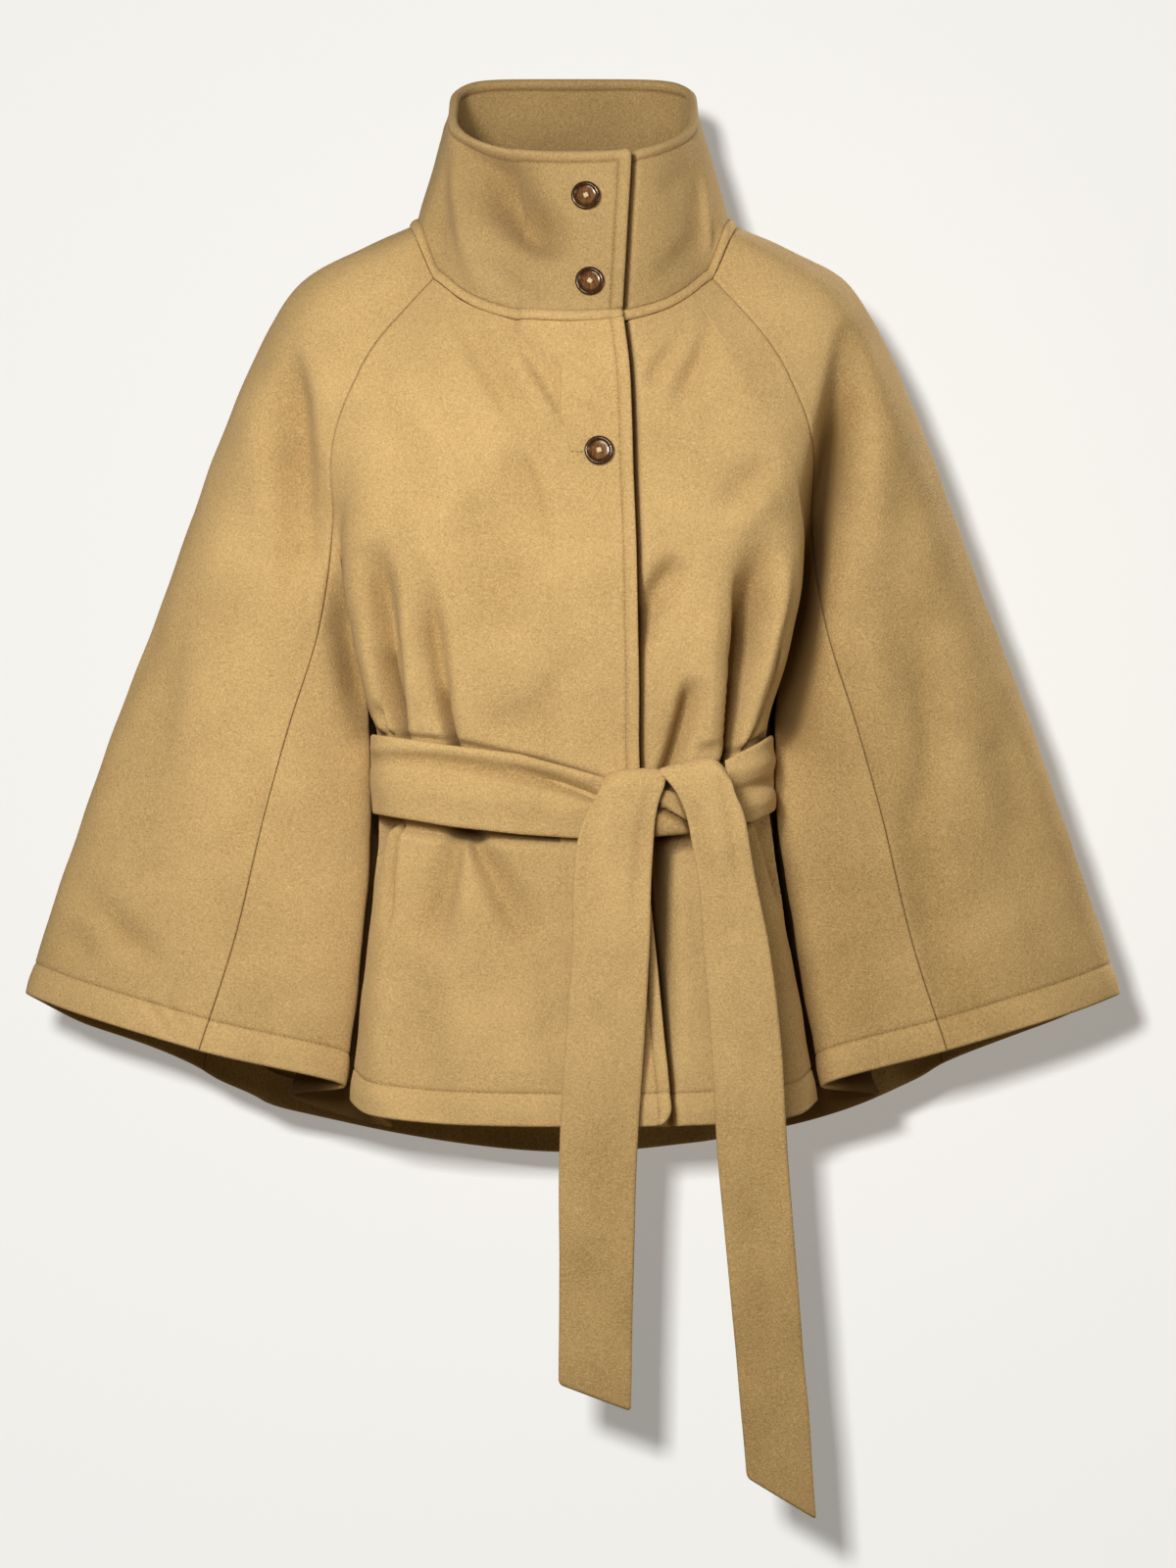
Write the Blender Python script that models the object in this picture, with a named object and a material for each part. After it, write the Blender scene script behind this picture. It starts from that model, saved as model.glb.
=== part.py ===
"""Belted wool cape, filled out as on a general figure, as closed solids in metres.

+Z is up, the front faces -Y and the wearer's left is +X.  The origin is the middle of the
neck base, where the shoulders and neck of a wearer hold the cape up.  The cape is one skin
S(across, down): `across` runs round the body from one station to the next and `down` runs
from the neck seam to the hem, one step for each level.  Every panel is a stretch of it.
"""
import math

import bmesh
import bpy
import numpy as np

MM = 0.001

# ------------------------------------------------------------------ driving sizes, in mm
CLOTH = 2.5            # wall of the coat wool
COLLAR_WALL = 3.6      # the collar is two layers, pressed
BELT_WALL = 4.0        # the belt is a folded and turned tube
SEAM_GAP = 0.3         # clear space between two pieces that are sewn together
LAP_CLEAR = 0.4        # clear space between two layers that lie on each other
UNDER_END = -0.2       # station where the lower front, and the collar's lower end, stop
LAP_LIFT = (-1.7, 1.2) # station where the upper front starts to rise over it, and how far on
BELT_CLEAR = 1.1       # clear space under the belt
ROLL_HEIGHT = 6.8      # raised neck seam, along the cloth
ROLL_PROUD = 1.0       # how far that seam stands out of the cloth
COLLAR_TOP = dict(half_width=92.5, front_depth=75, back_depth=68, front_z=62, side_z=104,
                  back_z=136, front_square=2.4, back_square=3.6)
BELT_WIDTH = 60
BUTTON_RADIUS = 11.5
BUTTON_THICK = 4.2

# ------------------------------------------------------------------ the cape's skin, in mm
# Levels, neck to hem.  Each table below has one row for each of them.
LEVELS = ("neck", "yoke", "shoulder", "chest", "bust", "armhole",
          "rib", "belt_top", "belt_foot", "skirt", "hem")
BELT_TOP = LEVELS.index("belt_top")
BELT_FOOT = LEVELS.index("belt_foot")
HEM = LEVELS.index("hem")

# Stations, centre front to centre back, the same on both sides of the body.
STATIONS = ("centre_front", "lap_edge", "front_mid", "torso_corner", "torso_edge",
            "fold_bottom", "fold_pocket", "sleeve_inner", "raglan_front", "sleeve_front",
            "outer_line", "sleeve_back", "raglan_back", "back_side", "back_mid", "centre_back")
LAP_EDGE = STATIONS.index("lap_edge")
TORSO_EDGE_AT = STATIONS.index("torso_edge")
FOLD_BOTTOM_AT = STATIONS.index("fold_bottom")
SLEEVE_INNER_AT = STATIONS.index("sleeve_inner")
RAGLAN_FRONT_AT = STATIONS.index("raglan_front")
RAGLAN_BACK_AT = STATIONS.index("raglan_back")
CENTRE_BACK_AT = STATIONS.index("centre_back")

# How deep and how low the centre front is, where the upper front's edge runs, how far the
# skirt swings to +X, and the degrees that the front has turned at the torso's edge.
#  front_y front_z lap_x sway turn
FRONT = (
    (-98, -68, 37, 0, 45),
    (-106, -103, 42, 0, 54),
    (-113, -143, 44, 0, 63),
    (-119, -182, 45, 0, 72),
    (-124, -236, 47, 0, 82),
    (-124, -286, 48, 0, 90),
    (-119, -338, 49, 0, 90),
    (-112, -389, 50, -1, 90),
    (-112, -457, 52, 1, 90),
    (-119, -553, 58, 5, 90),
    (-128, -667, 66, 8, 90),
)
# Side of the torso, where the front turns back.
#  x    y    z
TORSO_EDGE = (
    (88, -69, -45),
    (104, -87, -75),
    (125, -99, -108),
    (143, -102, -137),
    (164, -97, -182),
    (173, -86, -228),
    (166, -78, -300),
    (147, -63, -370),
    (147, -63, -440),
    (161, -67, -550),
    (176, -74, -651),
)
# The deep fold between torso and sleeve opens from the armhole level down, and above it the
# cloth is smooth.  `bottom` is where the belt leaves the torso, `pocket` the far wall of the
# fold and `inner` the edge where the sleeve comes forward again.
FOLD_FROM = LEVELS.index("armhole")
#  bottom x   y    z   pocket x   y    z    inner x   y    z
SIDE_FOLD = (
    (174, -78, -226, 176, -75, -225, 178, -74, -223),
    (157, -34, -300, 162, -37, -299, 165, -56, -297),
    (144, 4, -372, 159, -18, -371, 155, -47, -369),
    (144, 4, -442, 160, -18, -441, 155, -49, -439),
    (147, 8, -558, 188, -22, -552, 165, -54, -545),
    (152, 14, -676, 222, -24, -650, 179, -59, -641),
)
# Seam between front and sleeve.
#  x    y    z
RAGLAN_FRONT = (
    (105, -51, -30),
    (127.5, -68, -56),
    (149, -81, -83),
    (163.5, -87, -110),
    (181, -82, -161),
    (181, -72, -221),
    (191, -64, -294),
    (214, -63, -369),
    (232.5, -66, -436),
    (255, -71, -531),
    (281, -77, -613),
)
# Outermost line of the cape, from the neck over the shoulder and down.
#  x    y    z
OUTER_LINE = (
    (124, 0, 14),
    (160, 2, -1),
    (207, 3, -27.5),
    (232, 3, -63),
    (264, 2, -135),
    (293, 1, -212),
    (323, 0, -294),
    (350, 0, -365),
    (374, 0, -434),
    (403, 0, -520),
    (419.5, 0, -573),
)
# Seam between sleeve and back.
#  x    y    z
RAGLAN_BACK = (
    (100, 46, 29),
    (126, 60, 2),
    (152, 74, -40),
    (168, 82, -84),
    (190, 88, -150),
    (205, 91, -215),
    (222, 91, -298),
    (240, 91, -372),
    (252, 90, -438),
    (270, 88, -535),
    (288, 86, -631),
)
# Centre back.
#  y    z
CENTRE_BACK = (
    (78, 40),
    (98, 8),
    (111, -38),
    (118, -86),
    (124, -152),
    (128, -217),
    (132, -300),
    (136, -376),
    (139, -446),
    (145, -560),
    (152, -704),
)
# Soft flutes that run down into the hem: station, side (-1 is -X), half-width in stations,
# depth (minus is inwards), how much lower the hem hangs there, level where the flute starts.
FLUTES = (
    (13.0, -1, 0.55, -22, 5, 6.5),
    (12.2, -1, 0.60, 9, 6, 6.0),
    (13.3, 1, 0.60, -15, 0, 6.0),
    (12.4, 1, 0.60, 7, 0, 6.0),
    (14.1, -1, 0.60, 10, 0, 5.0),
    (14.2, 1, 0.60, 9, 0, 5.5),
    (15.0, 1, 0.55, -8, 0, 6.0),
    (9.0, -1, 0.50, -6, 0, 4.5),
    (9.1, 1, 0.50, -5, 0, 5.0),
    (11.0, -1, 0.55, -9, 5, 5.0),
    (10.9, 1, 0.55, -10, 0, 5.5),
)
# Pleats and troughs that the belt gathers, each a line over the skin: station and level
# where it starts, station and level where it ends, half-width in stations, depth in mm.
PLEATS = (
    (-3.25, 5.9, -2.85, 7.5, 0.30, 5.0),
    (2.55, 5.8, 2.50, 7.5, 0.28, 6.0),
    (1.95, 6.4, 1.75, 7.5, 0.30, 3.0),
    (-3.20, 7.5, -3.35, 8.9, 0.34, 4.0),
    (-2.20, 7.5, -2.35, 9.1, 0.38, 4.0),
    (1.60, 7.5, 1.50, 9.8, 0.42, 6.0),
    (3.00, 7.5, 3.10, 9.7, 0.34, 4.5),
    (-0.80, 2.0, -1.70, 4.2, 0.62, 3.0),
    (1.80, 1.6, 1.60, 3.6, 0.60, 2.5),
)
FRONT_SQUARE = 2.5     # how square the front's section is: 2 is an ellipse
FRONT_TURNS = (0.4, 0.72)   # share of the front's turn at stations front_mid and torso_corner
SLEEVE_TURN = 50       # degrees round the sleeve at which its middle stations lie
BACK_TURNS = (62, 30)  # degrees round the back of stations back_side and back_mid
HEM_RISE_FRONT = 3.3   # how late the hem rises from the seam to the outer line
HEM_RISE_BACK = 2.8
BACK_FALL = 1.6        # how late the back falls from the seam to its centre

# ------------------------------------------------------------------ belt, tails and buttons
# Belt on the cape's front, read along the body: x, middle height, width, all in mm.
BELT_LEFT = ((-147, -405, 60), (-90, -414, 61), (-40, -420, 60), (0, -427, 52), (27.5, -430, 42))
BELT_RIGHT = ((112.6, -419, 48), (131, -413, 56), (147, -404, 57))
BELT_BACK = dict(half_width=149, depth=98, height=-398)
BELT_LEAVES = 4.67     # station at which the belt leaves the torso's side for the slit
KNOT = dict(x=70, z=-430, half_width=41.5, half_height=21, back_y=-116, front_y=-133.6,
            end_fullness=0.8, square=0.7, sections=9, sides=12)
# Tails: height of the row, left edge, right edge, y of its outer face.  Both hang from
# the knot's top, lie on its front and swing clear of the hem.
TAIL_LEFT = (
    (-405, 20, 63, -134),
    (-412, 17, 63, -137.6),
    (-423, 15, 62.5, -138),
    (-440, 7.5, 60, -138),
    (-457, 3, 59, -137.6),
    (-486, 0.5, 58, -137.5),
    (-530, -0.5, 57, -138),
    (-602, -5.5, 53, -139.5),
    (-688, -10, 47.5, -140.5),
    (-775, -10, 45, -141),
    (-856, -10.5, 43, -141),
)
TAIL_RIGHT = (
    (-402, 70, 114, -134),
    (-409, 74, 118, -137.6),
    (-419, 78, 121, -138),
    (-436, 84, 127, -138),
    (-457, 88, 131, -137.6),
    (-486, 93, 136, -137.5),
    (-530, 96, 145, -138),
    (-602, 102, 154, -139.5),
    (-688, 107, 159, -140.5),
    (-775, 115, 166, -141),
    (-840, 121, 171, -141),
    (-925, 128.5, 180, -141),
)
TAIL_LEFT_SLANT = 20   # how much lower the +X corner of the cut end is
TAIL_RIGHT_SLANT = 31
TAIL_BULGE = 1.2       # how far a tail's middle stands out of its edges
# Buttons: x, z and which piece carries them.
BUTTONS = (("top", 9.5, 28, "collar"), ("neck", 12.5, -37, "collar"), ("chest", 19.5, -165, "front"))

# ------------------------------------------------------------------ how fine the solids are
STEPS_ACROSS = dict(zip(STATIONS, (2, 4, 3, 4, 3, 2, 3, 3, 3, 4, 4, 3, 3, 3, 3)))
STEPS_DOWN = (2, 2, 2, 2, 3, 3, 3, 3, 3, 3)
COLLAR_STATIONS = (0, 0.5, 1, 1.5, 2, 3, 4, 6, 8, 8.5, 9, 9.5, 10, 10.5, 11, 12, 12.6, 13.3,
                   14, 14.5, 15)
COLLAR_ROWS = 5
JUST_BELOW = 0.15      # level from which the way up the cloth at the neck is taken
ROLL_SIDES = 8
BUTTON_SIDES = 28

# ------------------------------------------------------------------ colours
CAMEL = (0.60, 0.41, 0.20)
HORN = (0.20, 0.09, 0.035)


# ================================================================== curves and the skin
def smoothstep(t):
    t = np.clip(t, 0.0, 1.0)
    return t * t * (3 - 2 * t)


def through(points, t):
    """Centripetal Catmull-Rom curve through points (axis 0) at t = 0, 1, 2 ..."""
    points = np.asarray(points, float)
    last = len(points) - 1
    steps = np.diff(points, axis=0)
    knots = np.sqrt(np.maximum(np.linalg.norm(steps, axis=-1, keepdims=True), 1e-6))
    slopes = steps / knots
    tangents = np.empty_like(points)
    both = knots[:-1] + knots[1:]
    tangents[1:-1] = slopes[:-1] + slopes[1:] - (steps[:-1] + steps[1:]) / both
    tangents[0] = slopes[0]
    tangents[-1] = slopes[-1]
    t = np.clip(np.asarray(t, float), 0, last)
    k = np.minimum(t.astype(int), last - 1)
    s = (t - k).reshape(t.shape + (1,) * (points.ndim - 1))
    a, b, reach = points[k], points[k + 1], knots[k]
    return ((2 * s**3 - 3 * s**2 + 1) * a + (s**3 - 2 * s**2 + s) * reach * tangents[k]
            + (3 * s**2 - 2 * s**3) * b + (s**3 - s**2) * reach * tangents[k + 1])


def station_table():
    """Points (level, station, xyz) of one half of the cape, worked out from the tables."""
    table = np.zeros((len(LEVELS), len(STATIONS), 3))
    power = 2 / FRONT_SQUARE
    for level in range(len(LEVELS)):
        front_y, front_z, lap_x, _, turned = FRONT[level]
        edge = np.array(TORSO_EDGE[level], float)
        seam = np.array(RAGLAN_FRONT[level], float)
        outer = np.array(OUTER_LINE[level], float)
        back_seam = np.array(RAGLAN_BACK[level], float)
        back_y, back_z = CENTRE_BACK[level]
        full = math.radians(turned)
        lap_turn = math.asin(math.sin(full) * (lap_x / edge[0]) ** (1 / power))
        rows = []
        for turn in (0, lap_turn, FRONT_TURNS[0] * full, FRONT_TURNS[1] * full):
            across = (math.sin(turn) / math.sin(full)) ** power
            back = (1 - math.cos(turn) ** power) / (1 - math.cos(full) ** power)
            rows.append((edge[0] * across, front_y + (edge[1] - front_y) * back,
                         front_z + (edge[2] - front_z) * back))
        rows.append(edge)
        if level < FOLD_FROM:
            rows += [edge + (seam - edge) * part for part in (0.25, 0.5, 0.75)]
        else:
            rows += list(np.reshape(SIDE_FOLD[level - FOLD_FROM], (3, 3)))
        rows.append(seam)
        turn = math.radians(SLEEVE_TURN)
        for end, rise in ((seam, HEM_RISE_FRONT), (outer, 0), (back_seam, HEM_RISE_BACK)):
            if end is outer:
                rows.append(outer)
                continue
            rows.append((end[0] + (outer[0] - end[0]) * math.sin(turn),
                         outer[1] + (end[1] - outer[1]) * math.cos(turn),
                         outer[2] + (end[2] - outer[2]) * math.cos(turn) ** rise))
        rows.append(back_seam)
        for turn in BACK_TURNS:
            part = math.cos(math.radians(turn))
            rows.append((back_seam[0] * math.sin(math.radians(turn)),
                         back_seam[1] + (back_y - back_seam[1]) * part,
                         back_seam[2] + (back_z - back_seam[2]) * part ** BACK_FALL))
        rows.append((0, back_y, back_z))
        table[level] = rows
    return table


TABLE = station_table()
SWAY = np.array([row[3] for row in FRONT], float)
MIRROR = np.array([-1.0, 1.0, 1.0])


def wrap(across):
    """Round the body past the centre back: station 16 is station 14 of the other side."""
    across = np.asarray(across, float)
    return np.where(across > CENTRE_BACK_AT, across - 2 * CENTRE_BACK_AT, across)


def flutes(across, down):
    """Depth of the soft flutes and drop of the hem under them, in mm, at each point."""
    depth = np.zeros(np.broadcast(across, down).shape)
    drop = np.zeros_like(depth)
    for station, side, half_width, amount, lower, start in FLUTES:
        away = np.abs(across - side * station)
        away = np.minimum(away, 2 * CENTRE_BACK_AT - away)
        grown = smoothstep((down - start) / (HEM - start)) ** 1.3
        bump = np.exp(-(away / half_width) ** 2) * grown
        depth += amount * bump
        drop += lower * bump
    return depth, drop


def bare_skin(across, down):
    """The skin without flutes: arrays of stations and of levels give (down, across, xyz)."""
    across = wrap(across)
    rows = through(TABLE, down)
    ends = (rows[:, 1:2] * MIRROR, rows, rows[:, -2:-1] * MIRROR)
    half = np.moveaxis(np.concatenate(ends, axis=1), 1, 0)
    points = np.moveaxis(through(half, np.abs(across) + 1), 0, 1)
    points[..., 0] *= np.where(across < 0, -1, 1)
    sway = through(SWAY[:, None], down)
    inside = 1 - smoothstep(np.abs(across) - SLEEVE_INNER_AT)
    points[..., 0] += sway * inside
    return points


def pleats(across, down):
    """Depth of the pleats and troughs, in mm, at each point."""
    depth = np.zeros(np.broadcast(across, down).shape)
    for across_0, down_0, across_1, down_1, half_width, amount in PLEATS:
        part = (down - down_0) / (down_1 - down_0)
        middle = across_0 + (across_1 - across_0) * np.clip(part, 0, 1)
        along = smoothstep(part / 0.7) * smoothstep((1.15 - part) / 0.3)
        depth += amount * along * np.exp(-((across - middle) / half_width) ** 2)
    return depth


def skin(across, down, gathered=True):
    """Points and normals of the cape's outer face, with or without its pleats."""
    across = np.atleast_1d(np.asarray(across, float))
    down = np.atleast_1d(np.asarray(down, float))
    reach = 0.02
    here = bare_skin(across, down)
    run = bare_skin(across + reach, down) - bare_skin(across - reach, down)
    fall = bare_skin(across, down + reach) - bare_skin(across, down - reach)
    normal = np.cross(fall, run)
    normal /= np.maximum(np.linalg.norm(normal, axis=-1, keepdims=True), 1e-9)
    depth, drop = flutes(wrap(across)[None, :], down[:, None])
    if gathered:
        depth -= pleats(wrap(across)[None, :], down[:, None])
    here[..., 2] -= drop
    return here + normal * depth[..., None], normal


def lap(across, layer):
    """How far the upper front stands out where it lies on the lower one, in mm."""
    start, reach = LAP_LIFT
    return layer * smoothstep((np.asarray(across, float) - start) / reach)


# ================================================================== solids
def make_object(name, vertices, faces, colour, roughness=0.9):
    """A closed mesh, vertices in mm, with a Principled material of its own."""
    mesh = bpy.data.meshes.new(name)
    mesh.from_pydata((np.asarray(vertices) * MM).tolist(), [], faces)
    mesh.update()
    tidy = bmesh.new()
    tidy.from_mesh(mesh)
    bmesh.ops.recalc_face_normals(tidy, faces=tidy.faces)
    bmesh.ops.triangulate(tidy, faces=tidy.faces)
    tidy.to_mesh(mesh)
    tidy.free()
    mesh.shade_smooth()
    piece = bpy.data.objects.new(name, mesh)
    bpy.context.collection.objects.link(piece)
    material = bpy.data.materials.new(name + "_material")
    material.use_nodes = True
    shader = material.node_tree.nodes["Principled BSDF"]
    shader.inputs["Base Color"].default_value = (*colour, 1)
    shader.inputs["Roughness"].default_value = roughness
    shader.inputs["Metallic"].default_value = 0.0
    mesh.materials.append(material)
    return piece


def shell(name, outer, inner, colour, holes=None):
    """Close two grids of points (rows, columns, xyz) into one wall, with its rims."""
    rows, columns, _ = outer.shape
    present = np.ones((rows - 1, columns - 1), bool)
    if holes is not None:
        present &= ~holes
    used = np.zeros((rows, columns), bool)
    for r, c in zip(*np.nonzero(present)):
        used[r:r + 2, c:c + 2] = True
    index = -np.ones((rows, columns), int)
    index[used] = np.arange(used.sum())
    count = int(used.sum())
    vertices = np.concatenate((outer[used], inner[used]))
    faces = []
    edges = set()
    for r, c in zip(*np.nonzero(present)):
        ring = [index[r, c], index[r + 1, c], index[r + 1, c + 1], index[r, c + 1]]
        faces.append([int(i) for i in ring])
        faces.append([int(i) + count for i in reversed(ring)])
        for a, b in zip(ring, ring[1:] + ring[:1]):
            edges.add((int(a), int(b)))
    for a, b in sorted(edges):
        if (b, a) not in edges:
            faces.append([b, a, a + count, b + count])
    return make_object(name, vertices, faces, colour)


def pull_in(grid, side, amount):
    """Move one edge of a grid into the panel by `amount` mm, for the seam's gap."""
    edge, near = {"left": ((slice(None), 0), (slice(None), 1)),
                  "right": ((slice(None), -1), (slice(None), -2)),
                  "top": ((0,), (1,)),
                  "bottom": ((-1,), (-2,))}[side]
    step = grid[near] - grid[edge]
    step /= np.linalg.norm(step, axis=-1, keepdims=True)
    grid[edge] += step * amount


def steps_between(first, last):
    """Stations from first to last, with each stretch's own number of steps."""
    stops = [float(first)]
    here = float(first)
    while here < last - 1e-9:
        stop = min(math.floor(here + 1e-6) + 1, last)
        stretch = int(min(abs(here), abs(stop)) + 1e-6)
        count = STEPS_ACROSS[STATIONS[stretch]]
        share = max(1, round(count * (stop - here)))
        stops += list(np.linspace(here, stop, share + 1)[1:])
        here = float(stop)
    return np.array(stops)


def levels_down():
    stops = [0.0]
    for level, count in enumerate(STEPS_DOWN):
        stops += list(np.linspace(level, level + 1, count + 1)[1:])
    return np.array(stops)


def panel(name, across, seams, out=None, slit=False):
    """One cut piece of the cape: a stretch of the skin, neck to hem."""
    down = levels_down()
    raised = np.zeros(len(across)) if out is None else out
    face, normal = skin(across, down)
    outer = face + normal * raised[None, :, None]
    for side in seams:
        pull_in(outer, side, SEAM_GAP / 2)
    pull_in(outer, "top", SEAM_GAP)
    inner = outer - normal * CLOTH
    holes = None
    if slit:
        middle = (np.abs(across[1:]) + np.abs(across[:-1])) / 2
        beside = (middle > FOLD_BOTTOM_AT) & (middle < FOLD_BOTTOM_AT + 0.5)
        height = (down[1:] + down[:-1]) / 2
        holes = ((height > BELT_TOP) & (height < BELT_FOOT))[:, None] & beside[None, :]
    return shell(name, outer, inner, CAMEL, holes)


# ------------------------------------------------------------------ collar and neck seam
def collar_top(across):
    """Loop of the collar's upper edge, one point for each station."""
    neck, _ = skin(across, [0.0])
    turn = np.arctan2(neck[0, :, 0], -neck[0, :, 1] - 10)
    top = COLLAR_TOP
    front = np.cos(turn) > 0
    power = np.where(front, 2 / top["front_square"], 2 / top["back_square"])
    side = np.sign(np.sin(turn)) * np.abs(np.sin(turn)) ** power
    deep = np.abs(np.cos(turn)) ** power
    y = np.where(front, -top["front_depth"], top["back_depth"]) * deep
    far = np.where(front, top["front_z"], top["back_z"])
    z = top["side_z"] + (far - top["side_z"]) * deep
    return np.stack((top["half_width"] * side, y, z), axis=-1)


def collar_foot(across):
    """Loop where the collar meets the neck seam, and the way up the cloth there."""
    neck, _ = skin(across, [0.0])
    below, _ = skin(across, [JUST_BELOW])
    up_cloth = neck[0] - below[0]
    up_cloth /= np.linalg.norm(up_cloth, axis=-1, keepdims=True)
    up_collar = collar_top(across) - neck[0]
    up_collar /= np.linalg.norm(up_collar, axis=-1, keepdims=True)
    way = up_cloth + up_collar
    way /= np.linalg.norm(way, axis=-1, keepdims=True)
    return neck[0] + way * (ROLL_HEIGHT + 2 * SEAM_GAP), way


def collar_skin(across, up, out):
    """Outer face of the collar, up = 0 at its foot and 1 at its top, moved out by `out`."""
    across = np.asarray(across, float)
    up = np.asarray(up, float)

    def ruled(stations):
        foot, _ = collar_foot(stations)
        top = collar_top(stations)
        return foot[None] + (top - foot)[None] * up[:, None, None]

    here = ruled(across)
    run = ruled(across + 0.05) - ruled(across - 0.05)
    rise = (collar_top(across) - collar_foot(across)[0])[None]
    normal = np.cross(run, rise)
    normal /= np.linalg.norm(normal, axis=-1, keepdims=True)
    return here + normal * np.asarray(out)[None, :, None], normal


def round_the_neck():
    """Stations of the collar: from its under end round the back to its upper end."""
    half = np.array(COLLAR_STATIONS, float)
    first = np.concatenate(([UNDER_END], half))
    second = 2 * CENTRE_BACK_AT - half[::-1][1:]
    last = 2 * CENTRE_BACK_AT + np.array([0.5, 1.0])
    return np.concatenate((first, second, last))


def upper_end(stations, layer):
    """Layer offset for pieces that wrap round the neck and end on themselves."""
    return lap(stations - 2 * CENTRE_BACK_AT, layer)


def make_collar():
    stations = round_the_neck()
    out = upper_end(stations, COLLAR_WALL + LAP_CLEAR)
    rows = np.linspace(1, 0, COLLAR_ROWS + 1)
    outer, normal = collar_skin(stations, rows, out)
    return shell("collar", outer, outer - normal * COLLAR_WALL, CAMEL)


def make_neck_seam():
    """Raised seam between collar and body: an oval roll swept along the neck."""
    stations = round_the_neck()
    neck, _ = skin(stations, [0.0])
    foot, way = collar_foot(stations)
    _, normal = collar_skin(stations, [0.0], np.zeros(len(stations)))
    half_thick = (COLLAR_WALL + ROLL_PROUD) / 2
    middle = (neck[0] + foot) / 2
    out = upper_end(stations, 2 * half_thick + LAP_CLEAR) - (COLLAR_WALL - ROLL_PROUD) / 2
    sections = []
    for side in range(ROLL_SIDES):
        turn = 2 * math.pi * (side + 0.5) / ROLL_SIDES
        flat = 0.62
        along = math.copysign(abs(math.sin(turn)) ** flat, math.sin(turn)) * ROLL_HEIGHT / 2
        proud = math.copysign(abs(math.cos(turn)) ** flat, math.cos(turn)) * half_thick
        sections.append(middle + way * along + normal[0] * (out + proud)[:, None])
    return tube("neck_seam", np.stack(sections, axis=1), CAMEL)


def tube(name, sections, colour, roughness=0.9):
    """Close rings of points (section, side, xyz) into one solid with flat ends."""
    count, sides, _ = sections.shape
    faces = []
    for k in range(count - 1):
        for s in range(sides):
            n = (s + 1) % sides
            faces.append([k * sides + s, k * sides + n, (k + 1) * sides + n, (k + 1) * sides + s])
    faces.append(list(range(sides))[::-1])
    faces.append([(count - 1) * sides + s for s in range(sides)])
    return make_object(name, sections.reshape(-1, 3), faces, colour, roughness)


# ------------------------------------------------------------------ belt
def at_height(station, heights):
    """Levels at which one station of the skin reaches the given heights."""
    down = np.linspace(LEVELS.index("rib"), LEVELS.index("skirt"), 61)
    column, _ = skin([station], down, gathered=False)
    return np.interp(-np.asarray(heights), -column[:, 0, 2], down)


def at_width(x, height):
    """Station at which the torso's front reaches the given x, at one height."""
    stations = np.linspace(-TORSO_EDGE_AT, TORSO_EDGE_AT, 161)
    level = at_height(0.0, [height])
    row, _ = skin(stations, level, gathered=False)
    return float(np.interp(x, row[0, :, 0], stations))


def belt_on_front(stops, ends):
    """Columns of the belt that lie on the torso, at the panels' own columns."""
    first, last = ends
    own = np.concatenate((-steps_between(0, FOLD_BOTTOM_AT)[::-1], steps_between(0, FOLD_BOTTOM_AT)[1:]))
    stations = [first] + [s for s in own if first + 0.1 < s < last - 0.1] + [last]
    x_stops = [row[0] for row in stops]
    outer, inner = [], []
    for station in stations:
        x = skin([station], at_height(station, [stops[0][1]]))[0][0, 0, 0]
        middle = np.interp(x, x_stops, [row[1] for row in stops])
        width = np.interp(x, x_stops, [row[2] for row in stops])
        heights = middle + width * np.linspace(0.5, -0.5, 5)
        points, normals = skin([station], at_height(station, heights), gathered=False)
        rest = BELT_CLEAR + lap(station, CLOTH + LAP_CLEAR) * (station < LAP_EDGE + 0.4)
        points, normals = points[:, 0], normals[:, 0] * [1, 1, 0]
        normals /= np.linalg.norm(normals, axis=-1, keepdims=True)
        points[:, 2] = heights
        inner.append(points + normals * rest)
        outer.append(points + normals * (rest + BELT_WALL))
    return outer, inner


def make_belt():
    """The belt from the knot round one side, through the slits, behind and back to the knot."""
    left_end = at_width(BELT_LEFT[-1][0], BELT_LEFT[-1][1])
    right_end = at_width(BELT_RIGHT[0][0], BELT_RIGHT[0][1])
    left_out, left_in = belt_on_front(BELT_LEFT, (-BELT_LEAVES, left_end))
    right_out, right_in = belt_on_front(BELT_RIGHT, (right_end, BELT_LEAVES))
    back_out, back_in = [], []
    middle = BELT_BACK["half_width"]
    for turn in np.linspace(4, 176, 19):
        angle = math.radians(turn)
        across = -math.copysign(abs(math.cos(angle)) ** 0.8, math.cos(angle))
        deep = math.sin(angle)
        fall = BELT_LEFT[0][1] + (BELT_BACK["height"] - BELT_LEFT[0][1]) * deep
        heights = fall + BELT_WIDTH * np.linspace(0.5, -0.5, 5)
        for rows, half in ((back_out, BELT_WALL / 2), (back_in, -BELT_WALL / 2)):
            x = (middle + half) * across
            y = (BELT_BACK["depth"] + half) * deep
            rows.append(np.stack((np.full(5, x), np.full(5, y), heights), axis=-1))
    outer = np.stack(left_out[::-1] + back_out + right_out[::-1], axis=1)
    inner = np.stack(left_in[::-1] + back_in + right_in[::-1], axis=1)
    return shell("belt", outer, inner, CAMEL)


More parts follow.
